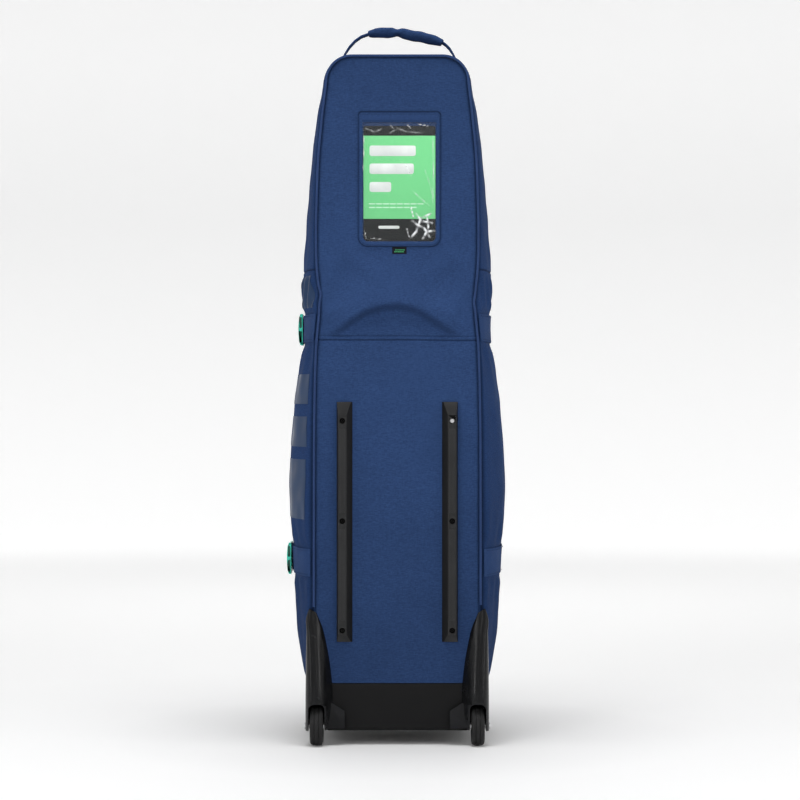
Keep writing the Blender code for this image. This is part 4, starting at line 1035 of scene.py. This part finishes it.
def make_main_zip():
    """Two rows of coil on their tapes, from the left foot over the top to the hinge strip."""
    end = RIM_L - HINGE_TOP + SEAM_Z
    for body, way, shift in (("shell", -1, 0.0), ("door", 1, 0.5)):
        node = f"zip_chain_{body}"
        low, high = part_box(node)
        depth = (low.y + high.y) / 2 - BACK_Y
        u = ZIP_FOOT + TOOTH_PITCH * (np.arange(int((end - ZIP_FOOT) / TOOTH_PITCH)) + shift)
        places = rim(u, depth, 0.0013)
        normals = rim(u, depth, 0.0113) - places
        across = np.broadcast_to([0.0, 1.0, 0.0], places.shape)
        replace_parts(teeth(f"zip_coil_{body}", places, normals, across, body), node)
        edges = depth + (ZIP_TAPE_EDGES if way > 0 else -ZIP_TAPE_EDGES[::-1])
        lengths = np.append(np.arange(ZIP_FOOT, end, 0.008), end)
        grid_u, grid_y = np.meshgrid(lengths, edges, indexing="ij")
        lift = np.full(grid_u.shape, 0.0004)
        mesh = sheet("tape", rim(grid_u, grid_y, lift), rim(grid_u, grid_y, lift - 0.0006), lining=False)
        add_piece(f"zip_tape_{body}", mesh, body, [TAPE])
        stitch_round(body, lengths, depth + way * TAPE_STITCH_OFF, 0.0001)


def make_sliders():
    for side in ("left", "right"):
        remake(f"zip_slider_{side}", BLACK_STEEL, 0.0005)
        remake(f"zip_pull_{side}", DARK_PLASTIC, 0.0006)
    for pocket in ("main", "hood"):
        remake(f"{pocket}_pocket_slider", BLACK_STEEL, 0.0004)


# ---- padded pieces ------------------------------------------------------------------------------
CLOTH_FRAMES = 20


def points_of(mesh):
    flat = np.empty(len(mesh.vertices) * 3)
    mesh.vertices.foreach_get("co", flat)
    return flat.reshape(-1, 3)


def filled(mesh):
    """Turns a hollow tray into a solid block of the same outline."""
    build = bmesh.new()
    build.from_mesh(mesh)
    hull = bmesh.ops.convex_hull(build, input=build.verts)
    kept = {face for face in hull["geom"] if isinstance(face, bmesh.types.BMFace)}
    bmesh.ops.delete(build, geom=[face for face in build.faces if face not in kept], context="FACES")
    face_outwards(build)
    build.to_mesh(mesh)
    build.free()


def stuffed(node, material, voxel, cap, shape, solid=False):
    """A CAD node's shape swollen by a cloth simulation, standing for it.

    cap says how far the points may move, and shape takes the points to their last places."""
    mesh = copy_of(node)
    if solid:
        filled(mesh)
    piece = add_piece(node + "_made", mesh, None, [material])
    remesh = piece.modifiers.new("remesh", "REMESH")
    remesh.mode = "VOXEL"
    remesh.voxel_size = voxel
    apply_modifiers(piece)
    start = points_of(piece.data)
    cloth = piece.modifiers.new("cloth", "CLOTH")
    cloth.settings.quality = 4
    cloth.settings.mass = 0.3
    cloth.settings.use_pressure = True
    cloth.settings.uniform_pressure_force = 4.0
    cloth.settings.effector_weights.gravity = 0.0
    cloth.point_cache.frame_start = 1
    cloth.point_cache.frame_end = CLOTH_FRAMES
    for number in range(1, CLOTH_FRAMES + 1):
        bpy.context.scene.frame_set(number)
    apply_modifiers(piece)
    bpy.context.scene.frame_set(1)
    moved = points_of(piece.data) - start
    length = np.linalg.norm(moved, axis=1, keepdims=True)
    limit = np.asarray(cap(start)).reshape(-1, 1)
    moved = moved * np.minimum(1, limit / np.maximum(length, 1e-9))
    places = shape(start + moved)
    piece.data.vertices.foreach_set("co", places.ravel())
    fine = piece.modifiers.new("fine", "SUBSURF")
    fine.levels = fine.render_levels = 1
    apply_modifiers(piece)
    piece.data.shade_smooth()
    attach(piece, frame["nodes"][node]["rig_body"])
    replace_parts(piece, node)
    return piece


POCKET_SUNK = 0.0028  # a pocket's back edge lies this far beneath the door's face
POCKET_TAPE = np.array([-0.0062, -0.0030, 0.0030, 0.0062])  # across the tape, from the row of coil
POCKET_STITCH_OFF = 0.0052
POCKET_TOOTH = (0.0013, 0.0042, 0.0012)
POCKET_TOOTH_PITCH = 0.0016


def make_pocket(name, zip_z, zip_half):
    """A stuffed pocket, flat along its zip, with a seam round its face."""
    node = f"{name}_pocket"
    low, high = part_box(node)
    face = high.y

    def cap(points):
        x, y, z = points.T
        inside = inset(x, z, low, high)
        front = smooth(face - 0.012, face - 0.002, y)
        return 0.0008 + 0.0075 * front * smooth(0.004, 0.05, inside) * smooth(0.008, 0.030, abs(z - zip_z))

    def shape(points):
        x, y, z = points.T
        inside = inset(x, z, low, high)
        front = smooth(face - 0.010, face - 0.004, y)
        wrinkle = 0.0009 * ripple(x, z, 0.075, 41) * smooth(0.01, 0.03, inside)
        sag = 0.003 * hump(z, low.z + 0.30 * (high.z - low.z), 0.06) * smooth(0.01, 0.06, inside)
        seam = 0.0012 * hump(inside, 0.008, 0.0022)
        flat = smooth(0.010, 0.028, abs(z - zip_z))
        out = y + front * ((wrinkle + sag) * flat - seam)
        sewn = door_front(x, z) - POCKET_SUNK
        at_back = 1 - smooth(low.y + 0.0012, low.y + 0.0050, y)
        return np.stack([x, np.maximum(out + at_back * (sewn - out), sewn), z], axis=1)

    stuffed(node, FABRIC, 0.0033, cap, shape, solid=True)
    x = np.linspace(-zip_half, zip_half, 60)
    tape_y = np.full(x.shape, face + 0.0002)
    grid_x, grid_z = np.meshgrid(x, zip_z + POCKET_TAPE, indexing="ij")
    outer = np.stack([grid_x, np.full(grid_x.shape, face + 0.0005), grid_z], axis=-1)
    inner = outer - np.array([0, 0.0022, 0])
    add_piece(f"{name}_pocket_tape", sheet("tape", outer, inner, lining=False), "door", [TAPE])
    places = np.arange(-zip_half + 0.002, zip_half - 0.002, POCKET_TOOTH_PITCH)
    rows = np.stack([places, np.full(places.shape, face + 0.0009), np.full(places.shape, zip_z)], axis=1)
    teeth(f"{name}_pocket_coil", rows, np.broadcast_to([0.0, 1.0, 0.0], rows.shape),
          np.broadcast_to([0.0, 0.0, 1.0], rows.shape), "door", POCKET_TOOTH)
    for way in (-1, 1):
        height = np.full(x.shape, zip_z + way * POCKET_STITCH_OFF)
        stitch("door", np.stack([x, tape_y + 0.0002, height], axis=1), (0, 1, 0))


GRIP_PINCH = 0.0  # where across the grip a seam draws it in
GRIP_SQUEEZE = 0.26  # how much thinner the grip is at that seam and at its ends


def make_top_handle():
    remake("top_handle_webbing", WEBBING, 0.0008)
    low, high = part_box("top_handle_grip")

    def cap(points):
        x = points[:, 0]
        ends = np.minimum(x - low.x, high.x - x)
        return 0.0002 + 0.0026 * smooth(0.0, 0.034, ends) * smooth(0.001, 0.016, abs(x - GRIP_PINCH))

    def shape(points):
        x, y, z = points.T
        middle = np.interp(x, np.linspace(low.x, high.x, 30), centre_line)
        squeeze = 1 - GRIP_SQUEEZE * hump(x, GRIP_PINCH, 0.0045)
        ends = 1 - GRIP_SQUEEZE * hump(np.minimum(x - low.x, high.x - x), 0, 0.010)
        droop = -0.0012 * smooth(0.0, 0.03, x)
        wrinkle = 0.0006 * ripple(x, y + z, 0.022, 51)
        return np.stack([x, y, middle + (z - middle) * squeeze * ends + droop + wrinkle], axis=1)

    found = node_points("top_handle_grip")
    stations = np.linspace(low.x, high.x, 30)
    centre_line = [found[abs(found[:, 0] - s) < 0.011][:, 2].mean() for s in stations]
    stuffed("top_handle_grip", FABRIC, 0.0025, cap, shape)


# ---- label pocket -------------------------------------------------------------------------------
def rounded(low, high, radii, steps=8):
    """A rounded rectangle's points in the XZ plane: corners from the top right, anticlockwise."""
    points = []
    corners = ((high[0], high[1], -1, -1, 0), (low[0], high[1], 1, -1, 1),
               (low[0], low[1], 1, 1, 2), (high[0], low[1], -1, 1, 3))
    for (x, z, way_x, way_z, quarter), radius in zip(corners, radii):
        for k in range(steps + 1):
            a = (quarter + k / steps) * math.pi / 2
            points.append((x + radius * (way_x + math.cos(a)), z + radius * (way_z + math.sin(a))))
    return np.array(points)


def plate(name, low, high, back, front, radius, body, slot, material):
    """A thin rounded plate facing -Y."""
    edge = min(0.0001, (back - front) / 4)
    outline = rounded(low, high, (radius,) * 4)
    centre = (np.array(low) + np.array(high)) / 2
    shrink = 1 - edge / (np.array(high) - centre)
    rings = [[(x, back, z) for x, z in outline], [(x, front + edge, z) for x, z in outline],
             [(centre[0] + (x - centre[0]) * shrink[0], front, centre[1] + (z - centre[1]) * shrink[1])
              for x, z in outline]]
    return add_piece(name, loft(name, rings), body, [material])


SURROUND_SECTION = (  # share of the way in from the surround's edge, and how far behind its front
    (0, 0.0010), (0.04, 0.0002), (0.12, 0.0), (0.17, 0.0), (0.24, 0.0001), (0.28, 0.0004), (0.32, 0.0001),
    (0.55, -0.0003), (0.80, -0.0002), (0.93, 0.0001), (1.0, 0.0009))
SURROUND_STITCH_SHARE = 0.28
SURROUND_OUTER_R = (0.007, 0.007, 0.018, 0.018)  # corners from the top right, anticlockwise
SURROUND_INNER_R = (0.003, 0.003, 0.011, 0.011)
PRINT_BACK = 0.0001  # print reaches this far into the card
PRINT_RISE = 0.0002
LINE_DASH_PITCH = 0.0125
LINE_DASH_L = 0.0112
LINE_DASH_HALF_H = 0.0011
TAB_DASH_PITCH = 0.0036
TAB_DASH_HALF_W = 0.0012
TAB_DASH_HALF_H = 0.0006
TAB_ROW_GAP = 0.0017


def make_label():
    low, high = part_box("label_frame")
    film_low, film_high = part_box("label_window")
    card_low, card_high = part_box("label_card")
    outer = rounded((low.x, low.z), (high.x, high.z), SURROUND_OUTER_R)
    hole_low = (film_low.x + 0.0005, film_low.z + 0.0005)
    hole_high = (film_high.x - 0.0005, film_high.z - 0.0005)
    inner = rounded(hole_low, hole_high, SURROUND_INNER_R)
    section = [(share, low.y + behind) for share, behind in SURROUND_SECTION]
    section = [(0, high.y)] + section + [(1.0, high.y)]
    rings = [[(x, y, z) for x, z in outer * (1 - share) + inner * share] for share, y in section]
    mesh = loft("label_surround", rings, capped=False)
    shares = np.repeat([s for s, _ in section], len(outer))
    # painted shade along the surround's outer edge and round its window
    add_values(mesh, "seam", np.maximum(1 - smooth(0.10, 0.17, shares), 0.8 * smooth(0.94, 1.0, shares)))
    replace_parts(add_piece("label_surround", mesh, "shell", [FABRIC]), "label_frame")
    seam_line = outer * (1 - SURROUND_STITCH_SHARE) + inner * SURROUND_STITCH_SHARE
    route = np.array([(x, low.y, z) for x, z in seam_line])
    stitch("shell", np.vstack([route, route[:1]]), (0, -1, 0), 0.0032, 0.0023, 0.0004)
    x = np.linspace(low.x + 0.006, high.x - 0.006, 40)
    top_line = np.stack([x, np.full(40, low.y - 0.0003), np.full(40, film_high.z + 0.0035)], axis=1)
    stitch("shell", top_line, (0, -1, 0))

    card = plate("label_card_made", (card_low.x, card_low.z), (card_high.x, card_high.z), card_high.y,
                 card_low.y, 0.004, "shell", "green_card", CARD)
    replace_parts(card, "label_card")
    depths = (card_low.y + PRINT_BACK, card_low.y - PRINT_RISE)
    for number, (left, right, bottom, top, radius) in enumerate(PRINT_BARS, 1):
        plate(f"card_bar_{number}", (left, bottom), (right, top), *depths, radius,
              "shell", "green_card", WHITE_PRINT)
    for number, (left, right, level) in enumerate(PRINT_LINES, 1):
        bottom, top = level - LINE_DASH_HALF_H, level + LINE_DASH_HALF_H
        for step in range(int((right - left) / LINE_DASH_PITCH)):
            start = left + LINE_DASH_PITCH * step
            plate(f"card_line_{number}_{step}", (start, bottom), (start + LINE_DASH_L, top), *depths,
                  0.0010, "shell", "green_card", FINE_PRINT)

    make_film_window(film_low, film_high)
    remake("label_tab", TAPE, 0.0004)
    tab_low, tab_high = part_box("label_tab")
    middle = (tab_low.z + tab_high.z) / 2 - 0.0008
    for row in (-1, 1):
        for k in range(5):
            x = (tab_low.x + tab_high.x) / 2 + (k - 2) * TAB_DASH_PITCH + row * 0.0009
            z = middle + row * TAB_ROW_GAP
            plate(f"tab_dash_{row + 2}_{k}", (x - TAB_DASH_HALF_W, z - TAB_DASH_HALF_H),
                  (x + TAB_DASH_HALF_W, z + TAB_DASH_HALF_H),
                  tab_low.y + 0.0002, tab_low.y - 0.0003, 0.0005, "shell", "green_card", GREEN_THREAD)


FILM_CREASES = (  # places across and up the film, from 0 to 1, then the crease's height, width and the strength of the glare painted along it
    ((0.62, 0.02), (0.72, 0.09), (0.78, 0.20), (0.95, 0.25), 0.0018, 0.0085, 1.0),
    ((0.66, 0.19), (0.74, 0.15), (0.84, 0.12), (0.93, 0.03), 0.0016, 0.0080, 1.0),
    ((0.72, 0.25), (0.80, 0.18), (0.97, 0.16), 0.0016, 0.0075, 1.0),
    ((0.80, 0.02), (0.86, 0.09), (0.99, 0.10), 0.0015, 0.0080, 1.0),
    ((0.60, 0.12), (0.64, 0.03), 0.0013, 0.0034, 0.9),
    ((0.88, 0.22), (0.90, 0.12), (0.84, 0.03), 0.0013, 0.0070, 0.9),
    ((0.66, 0.30), (0.70, 0.20), 0.0012, 0.0070, 0.85),
    ((0.52, 0.68), (0.60, 0.63), (0.68, 0.53), 0.0008, 0.0036, 0.45),
    ((0.66, 0.44), (0.80, 0.36), (0.92, 0.30), 0.0009, 0.0036, 0.55),
    ((0.84, 0.62), (0.93, 0.45), (0.95, 0.36), 0.0007, 0.0024, 0.5),
    ((0.955, 0.92), (0.965, 0.60), (0.955, 0.28), 0.0012, 0.0036, 0.55),
    ((0.015, 0.97), (0.020, 0.78), (0.012, 0.58), 0.0010, 0.0020, 0.9),
    ((0.03, 0.960), (0.16, 0.925), (0.28, 0.955), 0.0014, 0.0066, 0.30),
    ((0.34, 0.905), (0.48, 0.955), (0.60, 0.925), (0.86, 0.915), 0.0014, 0.0062, 0.28),
    ((0.37, 0.985), (0.43, 0.945), 0.0010, 0.0026, 0.9),
    ((0.60, 0.985), (0.66, 0.950), 0.0010, 0.0030, 0.9),
    ((0.74, 0.990), (0.90, 0.970), 0.0010, 0.0030, 0.9),
    ((0.03, 0.10), (0.05, 0.02), 0.0008, 0.0022, 0.8),
    ((0.08, 0.035), (0.30, 0.020), 0.0008, 0.0022, 0.6),
)


def make_film_window(low, high):
    """The clear film over the card, crumpled most at its top and lower right."""
    x, z = np.linspace(low.x, high.x, 110), np.linspace(low.z, high.z, 170)
    grid_x, grid_z = np.meshgrid(x, z, indexing="ij")
    width, height = high.x - low.x, high.z - low.z
    relief = 0.0003 * ripple(grid_x, grid_z, 0.030, 61)
    painted_glare = np.zeros(grid_x.shape)
    for *line, rise, reach, glare_strength in FILM_CREASES:
        route = [(low.x + a * width, low.z + b * height) for a, b in line]
        away, share = off_line(grid_x, grid_z, route)
        ends = smooth(0, 0.15, share) * smooth(0, 0.15, 1 - share)
        one_side = np.where(away > 0, reach, reach * 0.35)
        relief = relief + rise * ends * hump(away, 0, one_side)
        # painted glare on one side of each crease, broken up along its length
        broken = 0.62 + 0.38 * np.sin(share * 19 + rise * 9000)
        facet = smooth(-0.55, -0.15, away / reach) * (1 - smooth(0.0, 0.12, away / reach))
        painted_glare = np.maximum(painted_glare, glare_strength * ends * broken * facet)
    relief = relief * smooth(0, 0.006, inset(grid_x, grid_z, low, high))
    outer = np.stack([grid_x, low.y - relief, grid_z], axis=-1)
    inner = np.stack([grid_x, low.y - relief + 0.0002, grid_z], axis=-1)
    mesh = sheet("film", outer, inner, lining=False)
    add_values(mesh, "crease_glare", np.concatenate([painted_glare.ravel(), painted_glare.ravel() * 0]))
    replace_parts(add_piece("label_film", mesh, "shell", [VINYL], 180), "label_window")


# ---- rails, housings and wheels -----------------------------------------------------------------
RAIL_FLAT = 0.93  # faces that turn further from -Y than this are the rail's flanks, drawn darker as painted shade
SCREW_HOLE_R = 0.0066  # the rail is painted black round a sunk screw up to here, as shade in its counterbore
RIB_SPANS = ((0.225, 0.392), (0.419, 0.573))
RIB_SHARES = (-0.72, -0.36, 0.0, 0.36, 0.72)
RIB_MIDDLE_X = 0.0992
RIB_SPREAD = 0.0066
RIB_HALF_W = 0.0008
RIB_H = 0.00055
SCREW_PROFILE = (  # depth behind the head's front, radius, and whether it belongs to the six-sided socket
    (0.0100, 0.0020, False), (0.0024, 0.0020, False), (0.0022, 0.0042, False), (0.0014, 0.0045, False),
    (0.0007, 0.0041, False), (0.0003, 0.0030, False), (0.0003, 0.0024, True), (0.0019, 0.0022, True))


def make_screw(node, material):
    """A screw with a six-sided socket, sunk in the rail."""
    low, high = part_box(node)
    x, z = (low.x + high.x) / 2, (low.z + high.z) / 2
    rings = []
    for depth, radius, six_sided in SCREW_PROFILE:
        ring = []
        for k in range(24):
            a = 2 * math.pi * k / 24
            flat = math.cos(math.pi / 6) / math.cos(a % (math.pi / 3) - math.pi / 6)
            r = radius * (flat if six_sided else 1)
            ring.append((x + r * math.cos(a), low.y + depth, z + r * math.sin(a)))
        rings.append(ring)
    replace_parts(add_piece(node + "_made", loft(node, rings), "shell", [material], 30), node)


def make_rails():
    for side, way in (("left", -1), ("right", 1)):
        rail = remake(f"skid_rail_{side}", RAIL_PLASTIC, 0.0007)
        rail.data.materials.append(SHADED_RAIL_FLANK)
        rail.data.materials.append(BLACK_SCREW_AND_HOLE_SHADE)
        screws = [middle_of(f"rail_screw_{side}_{number}") for number in (1, 2, 3)]
        for face in rail.data.polygons:
            # faces on the flanks get the painted-shade copy of the rail's plastic
            shaded_flank = face.normal.y > -RAIL_FLAT and abs(face.normal.x) > abs(face.normal.z)
            face.material_index = int(shaded_flank)
            # the counterbore round each screw is painted black as shade
            if min(math.hypot(face.center.x - at.x, face.center.z - at.z) for at in screws) < SCREW_HOLE_R:
                face.material_index = 2
        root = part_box(f"skid_rail_{side}")[0].y + 0.0001
        turns = np.linspace(0, 2 * math.pi, 8, endpoint=False)
        points, faces = [], []
        for share in RIB_SHARES:
            x = way * RIB_MIDDLE_X + share * RIB_SPREAD
            for bottom, top in RIB_SPANS:
                stations = ((bottom, 0.1), (bottom + 0.002, 1.0), (top - 0.002, 1.0), (top, 0.1))
                rings = [[(x + RIB_HALF_W * grow * math.cos(a), root - RIB_H * grow * math.sin(a), z)
                          for a in turns] for z, grow in stations]
                base = len(points)
                points += [p for ring in rings for p in ring]
                for r in range(3):
                    faces += [tuple(base + 8 * r + i for i in (k, (k + 1) % 8, (k + 1) % 8 + 8, k + 8))
                              for k in range(8)]
                faces += [tuple(base + k for k in range(8)), tuple(base + 24 + k for k in range(8))]
        mesh = mesh_from("ribs", points, faces)
        add_piece(f"rail_ribs_{side}", mesh, "shell", [RAIL_PLASTIC])
        for number in (1, 2, 3):
            bright = side == "right" and number == 3
            make_screw(f"rail_screw_{side}_{number}", STEEL if bright else BLACK_SCREW_AND_HOLE_SHADE)


HOUSING_LEVELS = (  # height, inner and outer edge, and how far it stands out of the back panel
    (0.0275, 0.127, 0.1655, 0.022), (0.040, 0.122, 0.1655, 0.030), (0.0766, 0.117, 0.1655, 0.033),
    (0.1376, 0.1204, 0.165, 0.028), (0.202, 0.132, 0.164, 0.015), (0.235, 0.140, 0.1635, 0.007),
    (0.247, 0.146, 0.159, 0.003))
HOUSING_SECTION = ((0.0, 0.0), (0.0, -0.5), (0.16, -0.88), (0.35, -1.0), (0.55, -0.86))
FLANGE = ((0.138, 0.031), (0.095, 0.031), (0.095, 0.0628), (0.1167, 0.0766), (0.138, 0.0766))
TIP_Z = 0.205  # above this the housing's top slopes down towards the bag's middle
TIP_SLANT = 0.60
WELL_X = (0.1276, 0.1655)
WELL_DEPTH = 0.0447
WELL_TOP = 0.0797
ROOM_X = (0.131, 0.160)
ROOM_BACK = 0.0405
ROOM_TOP = 0.0766


def cut_corners(line):
    """Rounds an open line's corners off."""
    new = [line[0]]
    for p, q in zip(line[:-1], line[1:]):
        new += [0.75 * p + 0.25 * q, 0.25 * p + 0.75 * q]
    return np.array(new + [line[-1]])


def block(x_range, y_range, z_range, radius, way):
    """A box along Y with rounded upright section, as a cutter or a backing."""
    low_x, high_x = sorted(way * x for x in x_range)
    outline = rounded((low_x, z_range[0]), (high_x, z_range[1]), radius)
    return loft("block", [[(x, y, z) for x, z in outline] for y in y_range])


def combine(piece, mesh, operation):
    other = bpy.data.objects.new("tool", mesh)
    bpy.context.scene.collection.objects.link(other)
    step = piece.modifiers.new("combine", "BOOLEAN")
    step.operation = operation
    step.solver = "EXACT"
    step.object = other
    apply_modifiers(piece)
    bpy.data.objects.remove(other)


def make_housing(side, way):
    z_keys, inner_keys, outer_keys, reach_keys = np.array(HOUSING_LEVELS).T
    inner, outer, reach = (Profile(list(zip(z_keys, keys)))
                           for keys in (inner_keys, outer_keys, reach_keys))
    rings = []
    for z in np.linspace(z_keys[0], z_keys[-1], 56):
        wide = outer(z) - inner(z)
        line = [(outer(z) - share * wide, out * reach(z)) for share, out in HOUSING_SECTION]
        line += [(inner(z) + 0.08 * wide, -0.25 * reach(z)), (inner(z), 0.0)]
        line = cut_corners(np.array(line))
        line = np.vstack([line, [(inner(z), 0.004), (outer(z), 0.004)]])
        tip = TIP_SLANT * max(0.0, (z - TIP_Z) / (z_keys[-1] - TIP_Z))
        rings.append([(way * x, BACK_Y + y, z - tip * (outer(z) - x)) for x, y in line])
    piece = add_piece(f"housing_{side}", loft("housing", rings), None, [HOUSING_PLASTIC])
    well = block(WELL_X, (BACK_Y - 0.004, BACK_Y + WELL_DEPTH), (z_keys[0], WELL_TOP), (0.006,) * 4, way)
    combine(piece, well, "UNION")
    thin = loft("flange", [[(way * x, y, z) for x, z in FLANGE] for y in (BACK_Y - 0.006, BACK_Y + 0.002)])
    combine(piece, thin, "UNION")
    room = block(ROOM_X, (BACK_Y - 0.08, BACK_Y + ROOM_BACK), (0.0, ROOM_TOP),
                 (0.011, 0.011, 0.001, 0.001), way)
    combine(piece, room, "DIFFERENCE")
    build = bmesh.new()
    build.from_mesh(piece.data)
    bmesh.ops.remove_doubles(build, verts=build.verts, dist=0.00005)
    build.to_mesh(piece.data)
    build.free()
    rounding = piece.modifiers.new("rounding", "BEVEL")
    rounding.width = 0.0009
    rounding.segments = 2
    rounding.limit_method = "ANGLE"
    rounding.angle_limit = math.radians(38)
    apply_modifiers(piece)
    piece.data.shade_smooth()
    piece.data.set_sharp_from_angle(angle=math.radians(42))
    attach(piece, "shell")
    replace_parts(piece, f"wheel_housing_{side}")


TYRE_HALF = (  # from the groove's edge to the bore: place along the axle and radius
    (0.0028, 0.0350), (0.0034, 0.0340), (0.0042, 0.0340), (0.0048, 0.0349), (0.0066, 0.0347),
    (0.0094, 0.0338), (0.0112, 0.0318), (0.0120, 0.0290), (0.0120, 0.0250), (0.0115, 0.0226))
TYRE_PROFILE = tuple((-along, radius) for along, radius in TYRE_HALF[::-1]) + TYRE_HALF


def make_wheels():
    for side in ("left", "right"):
        centre = middle_of(f"tyre_{side}")
        tyre = lathe("tyre", TYRE_PROFILE, centre, (1, 0, 0), 72)
        piece = add_piece(f"tyre_{side}_made", tyre, f"wheel_{side}", [RUBBER], 32)
        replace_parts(piece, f"tyre_{side}")
        remake(f"hub_{side}", DARK_PLASTIC, 0.0007)
        remake(f"axle_{side}", STEEL, 0.0005)
        for place in ("inner", "outer"):
            remake(f"bearing_{place}_{side}", STEEL, 0.0003)


# ---- straps, buckles, base and the inside -------------------------------------------------------
TAB_STITCH_OFF = 0.0215  # from a strap tab's middle to each row of stitches


def make_straps():
    for level, z in STRAPS.items():
        remake(f"strap_{level}", WEBBING, 0.0006)
        for side, way in (("left", -1), ("right", 1)):
            remake(f"strap_tab_{level}_{side}", WEBBING, 0.0006)
            low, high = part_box(f"strap_tab_{level}_{side}")
            for edge in (-TAB_STITCH_OFF, TAB_STITCH_OFF):
                y = np.linspace(low.y + 0.004, high.y - 0.004, 50) - BACK_Y
                u = z + edge - SEAM_Z if way < 0 else RIM_L - (z + edge - SEAM_Z)
                stitch_round("shell", np.full(50, u), y, 0.0027)
        remake(f"buckle_socket_{level}", MINT_PLASTIC, 0.0009)
        remake(f"buckle_plug_{level}", MINT_PLASTIC, 0.0007)
    remake("door_handle", WEBBING, 0.0008)


def make_inside():
    remake("base_tray", BASE_PLASTIC, 0.0022, 4)
    for side in ("left", "right"):
        remake(f"front_foot_{side}", BASE_PLASTIC, 0.0014)
    soften("hood_pad", LINING, 0.004, 6)
    remake("stiffener_board", BOARD, 0.0010)


# ---- stage --------------------------------------------------------------------------------------
FLOOR_DISC_R = 2.0
FLOOR_R = 6.5
WALL_BEND_R = 2.5
WALL_TOP = 6.5


def make_stage():
    """A pale floor that curves up into a wall all round."""
    section = [(FLOOR_DISC_R, 0.0), (FLOOR_R, 0.0)]
    section += [(FLOOR_R + WALL_BEND_R * math.sin(a), WALL_BEND_R * (1 - math.cos(a)))
                for a in np.linspace(0.05, math.pi / 2, 16)]
    section.append((FLOOR_R + WALL_BEND_R, WALL_TOP))
    steps = 96
    points = [(r * math.cos(a), r * math.sin(a), z - 0.0004) for r, z in section
              for a in np.linspace(0, 2 * math.pi, steps, endpoint=False)]
    faces = [tuple(range(steps))]
    for ring in range(len(section) - 1):
        faces += [(ring * steps + k, (ring + 1) * steps + k, (ring + 1) * steps + (k + 1) % steps,
                   ring * steps + (k + 1) % steps) for k in range(steps)]
    mesh = bpy.data.meshes.new("floor")
    mesh.from_pydata(points, [], faces)
    mesh.shade_smooth()
    floor = bpy.data.objects.new("floor", mesh)
    bpy.context.scene.collection.objects.link(floor)
    paint = Finish("pale_floor", (0.84, 0.84, 0.84), 0.9)
    paint.set("Emission Color", (1.0, 1.0, 1.0, 1.0))
    length = paint.node("VectorMath", "LENGTH")
    paint.link(paint.places, length.inputs[0])
    near = paint.spread(length.outputs["Value"], 0.0, 0.11, 0.24, 0.58)
    far = paint.spread(length.outputs["Value"], 0.0, 0.40, 0.62, 6.0)
    wall = paint.spread(paint.axes()[2], 0.0, -0.20, 0.0, 1.6)
    glow = paint.math("ADD", paint.math("ADD", near, far), wall)
    paint.link(glow, paint.shader.inputs["Emission Strength"])
    mesh.materials.append(paint.material)


def add_light(name, place, aim, size, power):
    data = bpy.data.lights.new(name, "AREA")
    data.shape = "RECTANGLE"
    data.size, data.size_y = size
    data.energy = power
    light = bpy.data.objects.new(name, data)
    bpy.context.scene.collection.objects.link(light)
    light.location = place
    light.rotation_euler = (Vector(aim) - Vector(place)).to_track_quat("-Z", "Y").to_euler()


def make_lights():
    world = bpy.data.worlds.new("studio")
    bpy.context.scene.world = world
    world.use_nodes = True
    background = world.node_tree.nodes["Background"]
    background.inputs["Color"].default_value = (1.0, 1.0, 1.0, 1.0)
    background.inputs["Strength"].default_value = 0.20
    add_light("key", (-1.9, -3.4, 2.9), (0, 0, 0.75), (1.2, 1.6), 20)
    add_light("fill", (2.6, -3.0, 1.4), (0, 0, 0.6), (0.9, 2.2), 7)
    add_light("strip_left", (-2.6, -1.1, 0.9), (0, 0, 0.5), (0.20, 2.0), 9)
    add_light("strip_right", (2.6, -1.1, 0.9), (0, 0, 0.5), (0.22, 2.0), 9)
    add_light("top", (0.0, -0.9, 3.4), (0, -0.1, 0.6), (1.8, 1.4), 58)
    add_light("behind", (0.0, 3.4, 2.6), (0, 0, 0.7), (2.4, 1.6), 26)
    bpy.context.scene.view_settings.view_transform = "Standard"


def make_camera():
    data = bpy.data.cameras.new("camera")
    data.lens = 112.0
    data.sensor_width = 36.0
    camera = bpy.data.objects.new("camera", data)
    bpy.context.scene.collection.objects.link(camera)
    camera.location = (0.005, -4.65, 0.624)
    camera.rotation_euler = (math.radians(90), 0, 0)
    bpy.context.scene.camera = camera


make_camera()
make_stage()
make_lights()
make_back()
make_sides()
make_film()
make_door_front()
make_hinge_strip()
make_main_zip()
make_sliders()
make_pocket("main", 0.672, 0.112)
make_pocket("hood", 1.106, 0.080)
make_top_handle()
make_label()
make_rails()
make_housing("left", -1)
make_housing("right", 1)
make_wheels()
make_straps()
make_inside()
add_stitches(THREAD)
